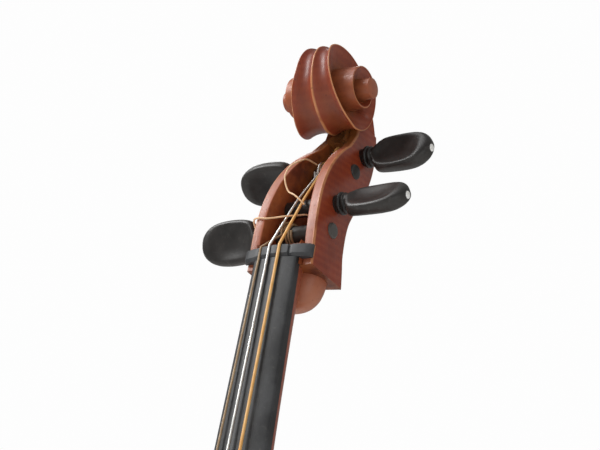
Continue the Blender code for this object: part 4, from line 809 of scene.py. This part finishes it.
def outline_curves():
    """The three curves of the body's right-hand edge, bottom to top, as (x, height)."""
    w = LOWER_HALF
    lower = [(0.0, 0.0), (0.34 * w, 0.0035), (0.63 * w, 0.021), (0.86 * w, 0.062), (0.97 * w, 0.115),
             (w, 0.165), (0.970 * w, 0.212), (0.895 * w, 0.250), (0.832 * w, 0.276), (0.850 * w, 0.2935)]
    c = WAIST_HALF
    waist = [(0.186, 0.3055), (0.160, 0.318), (0.138, 0.338), (0.122, 0.368), (c, 0.405),
             (c - 0.0003, 0.435), (0.118, 0.465), (0.126, 0.487), (0.139, 0.500), (0.1535, 0.5065)]
    upper = [(0.1545, 0.5185), (0.1455, 0.530), (0.1455, 0.547), (0.153, 0.575), (0.164, 0.605),
             (0.170, 0.640), (0.166, 0.675), (0.150, 0.708), (0.120, 0.735), (0.075, 0.750),
             (0.030, 0.7545), (0.0, BODY_LENGTH)]
    return [smooth(points, steps) for points, steps in ((lower, 6), (waist, 5), (upper, 5))]


def purfling_sections(curve, mirror, level, facing):
    """Slices of one inlaid strip, which just shows above the plate and follows its edge."""
    near = 0.0037
    far = 0.0050
    sections = []
    for i, (x, height) in enumerate(curve):
        before = curve[max(i - 1, 0)]
        after = curve[min(i + 1, len(curve) - 1)]
        along = Vector((after[0] - before[0], after[1] - before[1])).normalized()
        loop = []
        for inset, lift in ((near, -0.0003), (near, 0.00007), (far, 0.00007), (far, -0.0003)):
            loop.append(Vector((mirror * max(0.0, x - along.y * inset), level + facing * lift,
                                BODY_BOTTOM + height + along.x * inset)))
        sections.append(loop)
    return sections


def make_purfling():
    """The thin dark inlay that follows both plates' edges."""
    plates = (("front", FRONT - EDGE_THICKNESS, -1.0), ("back", REAR + EDGE_THICKNESS, 1.0))
    parts = tuple(zip(("lower", "waist", "upper"), outline_curves()))
    for plate, level, facing in plates:
        for part, curve in parts:
            for side, mirror in (("treble", 1.0), ("bass", -1.0)):
                verts, faces = skin(purfling_sections(curve, mirror, level, facing))
                make_piece(f"purfling_{plate}_{part}_{side}", verts, faces, INLAY, "instrument")


def refine(name, mat, body, edge):
    """A smooth-shaded copy of a model node, which stands for it and may have softened edges."""
    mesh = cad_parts[name].data.copy()
    work = bmesh.new()
    work.from_mesh(mesh)
    bmesh.ops.remove_doubles(work, verts=work.verts, dist=0.000002)
    bmesh.ops.dissolve_limit(work, angle_limit=math.radians(0.05), verts=work.verts, edges=work.edges)
    bmesh.ops.recalc_face_normals(work, faces=work.faces)
    work.to_mesh(mesh)
    work.free()
    mesh.materials.clear()
    mesh.materials.append(mat)
    mesh.shade_smooth()
    mesh.set_sharp_from_angle(angle=math.radians(34.0))
    obj = bpy.data.objects.new(f"fine_{name}", mesh)
    attach(obj, body)
    if edge:
        soften = obj.modifiers.new("soft_edges", "BEVEL")
        soften.width = edge
        soften.segments = 2
        soften.limit_method = "ANGLE"
        soften.angle_limit = math.radians(40.0)
    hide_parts(name)


def make_winding(label, x0, x1, turns, radius, mat):
    """Close coils of string round a peg shaft."""
    _, u, v, side, _ = next(p for p in PEGS if p[0] == label)
    path = []
    steps = int(28 * turns)
    for i in range(steps + 1):
        share = i / steps
        x = x0 + (x1 - x0) * share
        reach = peg_radius(side * x, u) + radius + COIL_LIFT
        t = math.pi / 2.0 - 2.0 * math.pi * turns * share
        path.append(head(x, u + reach * math.cos(t), v + reach * math.sin(t)))
    verts, faces = skin(tube_loops(path, radius, 10))
    make_piece(f"coil_{label}", verts, faces, mat, f"{label}_peg", [f"winding_{label}"], angle=60.0)


def outside_winding(label, x, degrees, radius, lift):
    """A point round a peg's axis that clears its coils."""
    _, u, v, side, _ = next(p for p in PEGS if p[0] == label)
    reach = peg_radius(side * x, u) + COIL_LIFT + 3.0 * radius + lift
    angle = math.radians(degrees)
    return head(x, u + reach * math.cos(angle), v + reach * math.sin(angle))


def make_loose_gut(name, node, points, radius, mat):
    """A stiff loose end of gut, as a round tube along a curve."""
    route = [Vector(p) for p in smooth([tuple(p) for p in points], 6)]
    spaced = [route[0]]
    for point in route[1:]:
        if (point - spaced[-1]).length >= 2.2 * radius:
            spaced.append(point)
    curve = bpy.data.curves.new(name, "CURVE")
    curve.dimensions = "3D"
    curve.bevel_depth = radius
    curve.bevel_resolution = 3
    curve.use_fill_caps = True
    line = curve.splines.new("POLY")
    line.points.add(len(spaced) - 1)
    for place, point in zip(line.points, spaced):
        place.co = (*point, 1.0)
    curve.materials.append(mat)
    obj = bpy.data.objects.new(name, curve)
    attach(obj, "instrument")
    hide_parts(node)


# ---- camera, light and floor ------------------------------------------------------------

def make_camera():
    """Long lens from below and to the treble side, close on the head."""
    data = bpy.data.cameras.new("camera")
    data.sensor_width = 36.0
    data.lens = 108.0
    camera = bpy.data.objects.new("camera", data)
    bpy.context.scene.collection.objects.link(camera)
    camera.location = head(0.6180, -0.4868, 0.8446)
    forward = Vector((-0.5237, 0.0, 0.0)) + ALONG * 0.4418 + OUT * -0.7284
    right = Vector((0.8447, 0.0, 0.0)) + ALONG * 0.1585 + OUT * -0.5112
    up = right.cross(forward)
    camera.matrix_world = Matrix((
        (right.x, up.x, -forward.x, camera.location.x), (right.y, up.y, -forward.y, camera.location.y),
        (right.z, up.z, -forward.z, camera.location.z), (0.0, 0.0, 0.0, 1.0)))
    bpy.context.scene.camera = camera


def area_light(name, place, target, size, power):
    """A soft square light aimed at a point."""
    data = bpy.data.lights.new(name, "AREA")
    data.size = size
    data.energy = power
    lamp = bpy.data.objects.new(name, data)
    lamp.location = place
    lamp.rotation_mode = "QUATERNION"
    lamp.rotation_quaternion = (Vector(target) - Vector(place)).to_track_quat("-Z", "Y")
    bpy.context.scene.collection.objects.link(lamp)


def make_surroundings():
    """Plain white as the camera sees it, and a dimmer warm white as a light."""
    world = bpy.data.worlds.new("studio")
    world.use_nodes = True
    nodes = world.node_tree.nodes
    links = world.node_tree.links
    nodes["Background"].inputs["Color"].default_value = (1.0, 0.985, 0.96, 1.0)
    nodes["Background"].inputs["Strength"].default_value = 0.34
    white = nodes.new("ShaderNodeBackground")
    white.inputs["Strength"].default_value = 0.985
    white.inputs["Color"].default_value = (1.0, 1.0, 1.0, 1.0)
    either = nodes.new("ShaderNodeMixShader")
    links.new(nodes.new("ShaderNodeLightPath").outputs["Is Camera Ray"], either.inputs["Fac"])
    links.new(nodes["Background"].outputs["Background"], either.inputs[1])
    links.new(white.outputs["Background"], either.inputs[2])
    links.new(either.outputs["Shader"], nodes["World Output"].inputs["Surface"])
    bpy.context.scene.world = world
    bpy.context.scene.view_settings.view_transform = "Standard"


def make_floor():
    """A wide pale floor just under the endpin's foot."""
    floor = Nodes("floor")
    tint = floor.noise(floor.coords, 0.8, 3.0)
    floor.finish(floor.mix(tint, (0.86, 0.86, 0.85), (0.90, 0.90, 0.89)), 0.8)
    mesh = bpy.data.meshes.new("floor")
    reach = 9.0
    level = -0.0005
    corners = ((-reach, -reach), (reach, -reach), (reach, reach), (-reach, reach))
    mesh.from_pydata([(x, y, level) for x, y in corners], [], [(0, 1, 2, 3)])
    mesh.materials.append(floor.mat)
    obj = bpy.data.objects.new("floor", mesh)
    bpy.context.scene.collection.objects.link(obj)


def make_lights():
    """A broad soft sun and three square lamps aimed at the head."""
    top = (0.0, -0.02, 1.40)
    sky = bpy.data.lights.new("sky", "SUN")
    sky.energy = 0.9
    sky.angle = math.radians(40.0)
    lamp = bpy.data.objects.new("sky", sky)
    lamp.rotation_euler = (math.radians(18.0), math.radians(-24.0), 0.0)
    bpy.context.scene.collection.objects.link(lamp)
    area_light("key", (-1.5, -1.3, 2.9), top, 1.2, 46.0)
    area_light("fill", (1.9, -1.5, 1.5), top, 1.8, 9.0)
    area_light("back", (-1.4, 1.5, 2.4), top, 1.3, 20.0)


# ---- build ------------------------------------------------------------------------------

# Finish, body and edge softening of the model nodes that keep their shape.
LOOKS = {"top_plate": (SPRUCE, "instrument", 0.0),
         "back_plate": (MAPLE, "instrument", 0.0),
         "bridge": (BRIDGE_WOOD, "instrument", 0.0003),
         "nut": (NUT_EBONY, "instrument", 0.0004),
         "saddle": (EBONY, "instrument", 0.0004),
         "tailpiece": (EBONY, "instrument", 0.0004),
         "tailpiece_fret": (EBONY, "instrument", 0.0004),
         "string_c": (BROWN_GUT, "instrument", 0.0),
         "string_g": (SILVER_WIRE, "instrument", 0.0),
         "string_d": (GOLD_GUT, "instrument", 0.0),
         "tail_gut": (BROWN_GUT, "instrument", 0.0),
         "endpin_plug": (EBONY, "instrument", 0.0),
         "endpin_collar": (BRASS, "instrument", 0.0),
         "endpin_rod": (STEEL, "endpin_slide_rod", 0.0),
         "endpin_foot": (RUBBER, "endpin_slide_rod", 0.0),
         "endpin_thumbscrew": (STEEL, "thumbscrew", 0.0)}

# The starts of the names of the nodes that new pieces stand for.
MADE = ("neck_and_scroll", "fingerboard", "peg_", "pip_", "winding_", "loose_gut")


def node_look(name):
    """The look of a node: ribs and corner blocks are varnished, and the rest is bare wood."""
    if name in LOOKS:
        return LOOKS[name]
    outside = "_rib_" in name or "corner_block" in name
    return MAPLE if outside else INSIDE_WOOD, "instrument", 0.0


def make_loose_guts():
    """The loop beside the G peg and the broken end on the A peg."""
    loop = [outside_winding("g", -0.0072, 60.0, SILVER, 0.0005)]
    loop += [head(*p) for p in (
        (-0.0078, 0.0885, -0.0210), (-0.0084, 0.0838, -0.0140), (-0.0110, 0.0770, -0.0080),
        (-0.0125, 0.0703, -0.0060), (-0.0120, 0.0646, -0.0060), (-0.0086, 0.0568, -0.0070),
        (-0.0041, 0.0538, -0.0065), (-0.0003, 0.0510, -0.0060), (0.0032, 0.0478, -0.0066),
        (0.0060, 0.0450, -0.0080))]
    make_loose_gut("gut_loop", "loose_gut_loop", loop, LOOSE_RADIUS, PALE_GUT)
    end = [outside_winding("a", 0.0072, 170.0, GUT_THIN, 0.0005)]
    end += [head(*p) for p in (
        (0.0048, 0.0405, -0.0130), (0.0012, 0.0392, -0.0104), (-0.0030, 0.0346, -0.0018),
        (-0.0110, 0.0328, 0.0012), (-0.0152, 0.0322, 0.0026), (-0.0210, 0.0332, 0.0028),
        (-0.0245, 0.0330, 0.0023), (-0.0264, 0.0318, -0.0004), (-0.0270, 0.0290, -0.0045),
        (-0.0271, 0.0262, -0.0078))]
    make_loose_gut("gut_end", "loose_gut_end", end, LOOSE_RADIUS, PALE_GUT)


def finish_model_nodes():
    """Refined copies of the nodes that keep their shape, and a plain finish on the hidden rest."""
    for name in sorted(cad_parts):
        if name.startswith(MADE):
            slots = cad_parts[name].data.materials
            slots.clear()
            slots.append(MAPLE if name == "neck_and_scroll" else EBONY)
        else:
            refine(name, *node_look(name))


make_camera()
make_loose_guts()
make_surroundings()
make_floor()
make_lights()
make_head()
for peg in PEGS:
    make_peg(*peg)
# Each winding: its peg, the x where it starts and ends, its turns, the string's radius and finish.
make_winding("c", -0.0095, -0.0030, 3.0, GUT_THIN, BROWN_GUT)
make_winding("g", -0.0048, -0.0088, 2.0, SILVER, SILVER_WIRE)
make_winding("d", -0.0022, 0.0046, 3.0, GUT_THICK, GOLD_GUT)
make_winding("a", 0.0130, 0.0066, 3.75, GUT_THIN, BROWN_GUT)
for label, u, v, side, _ in PEGS:
    make_pip(label, u, v, side)
make_board()
make_purfling()
finish_model_nodes()
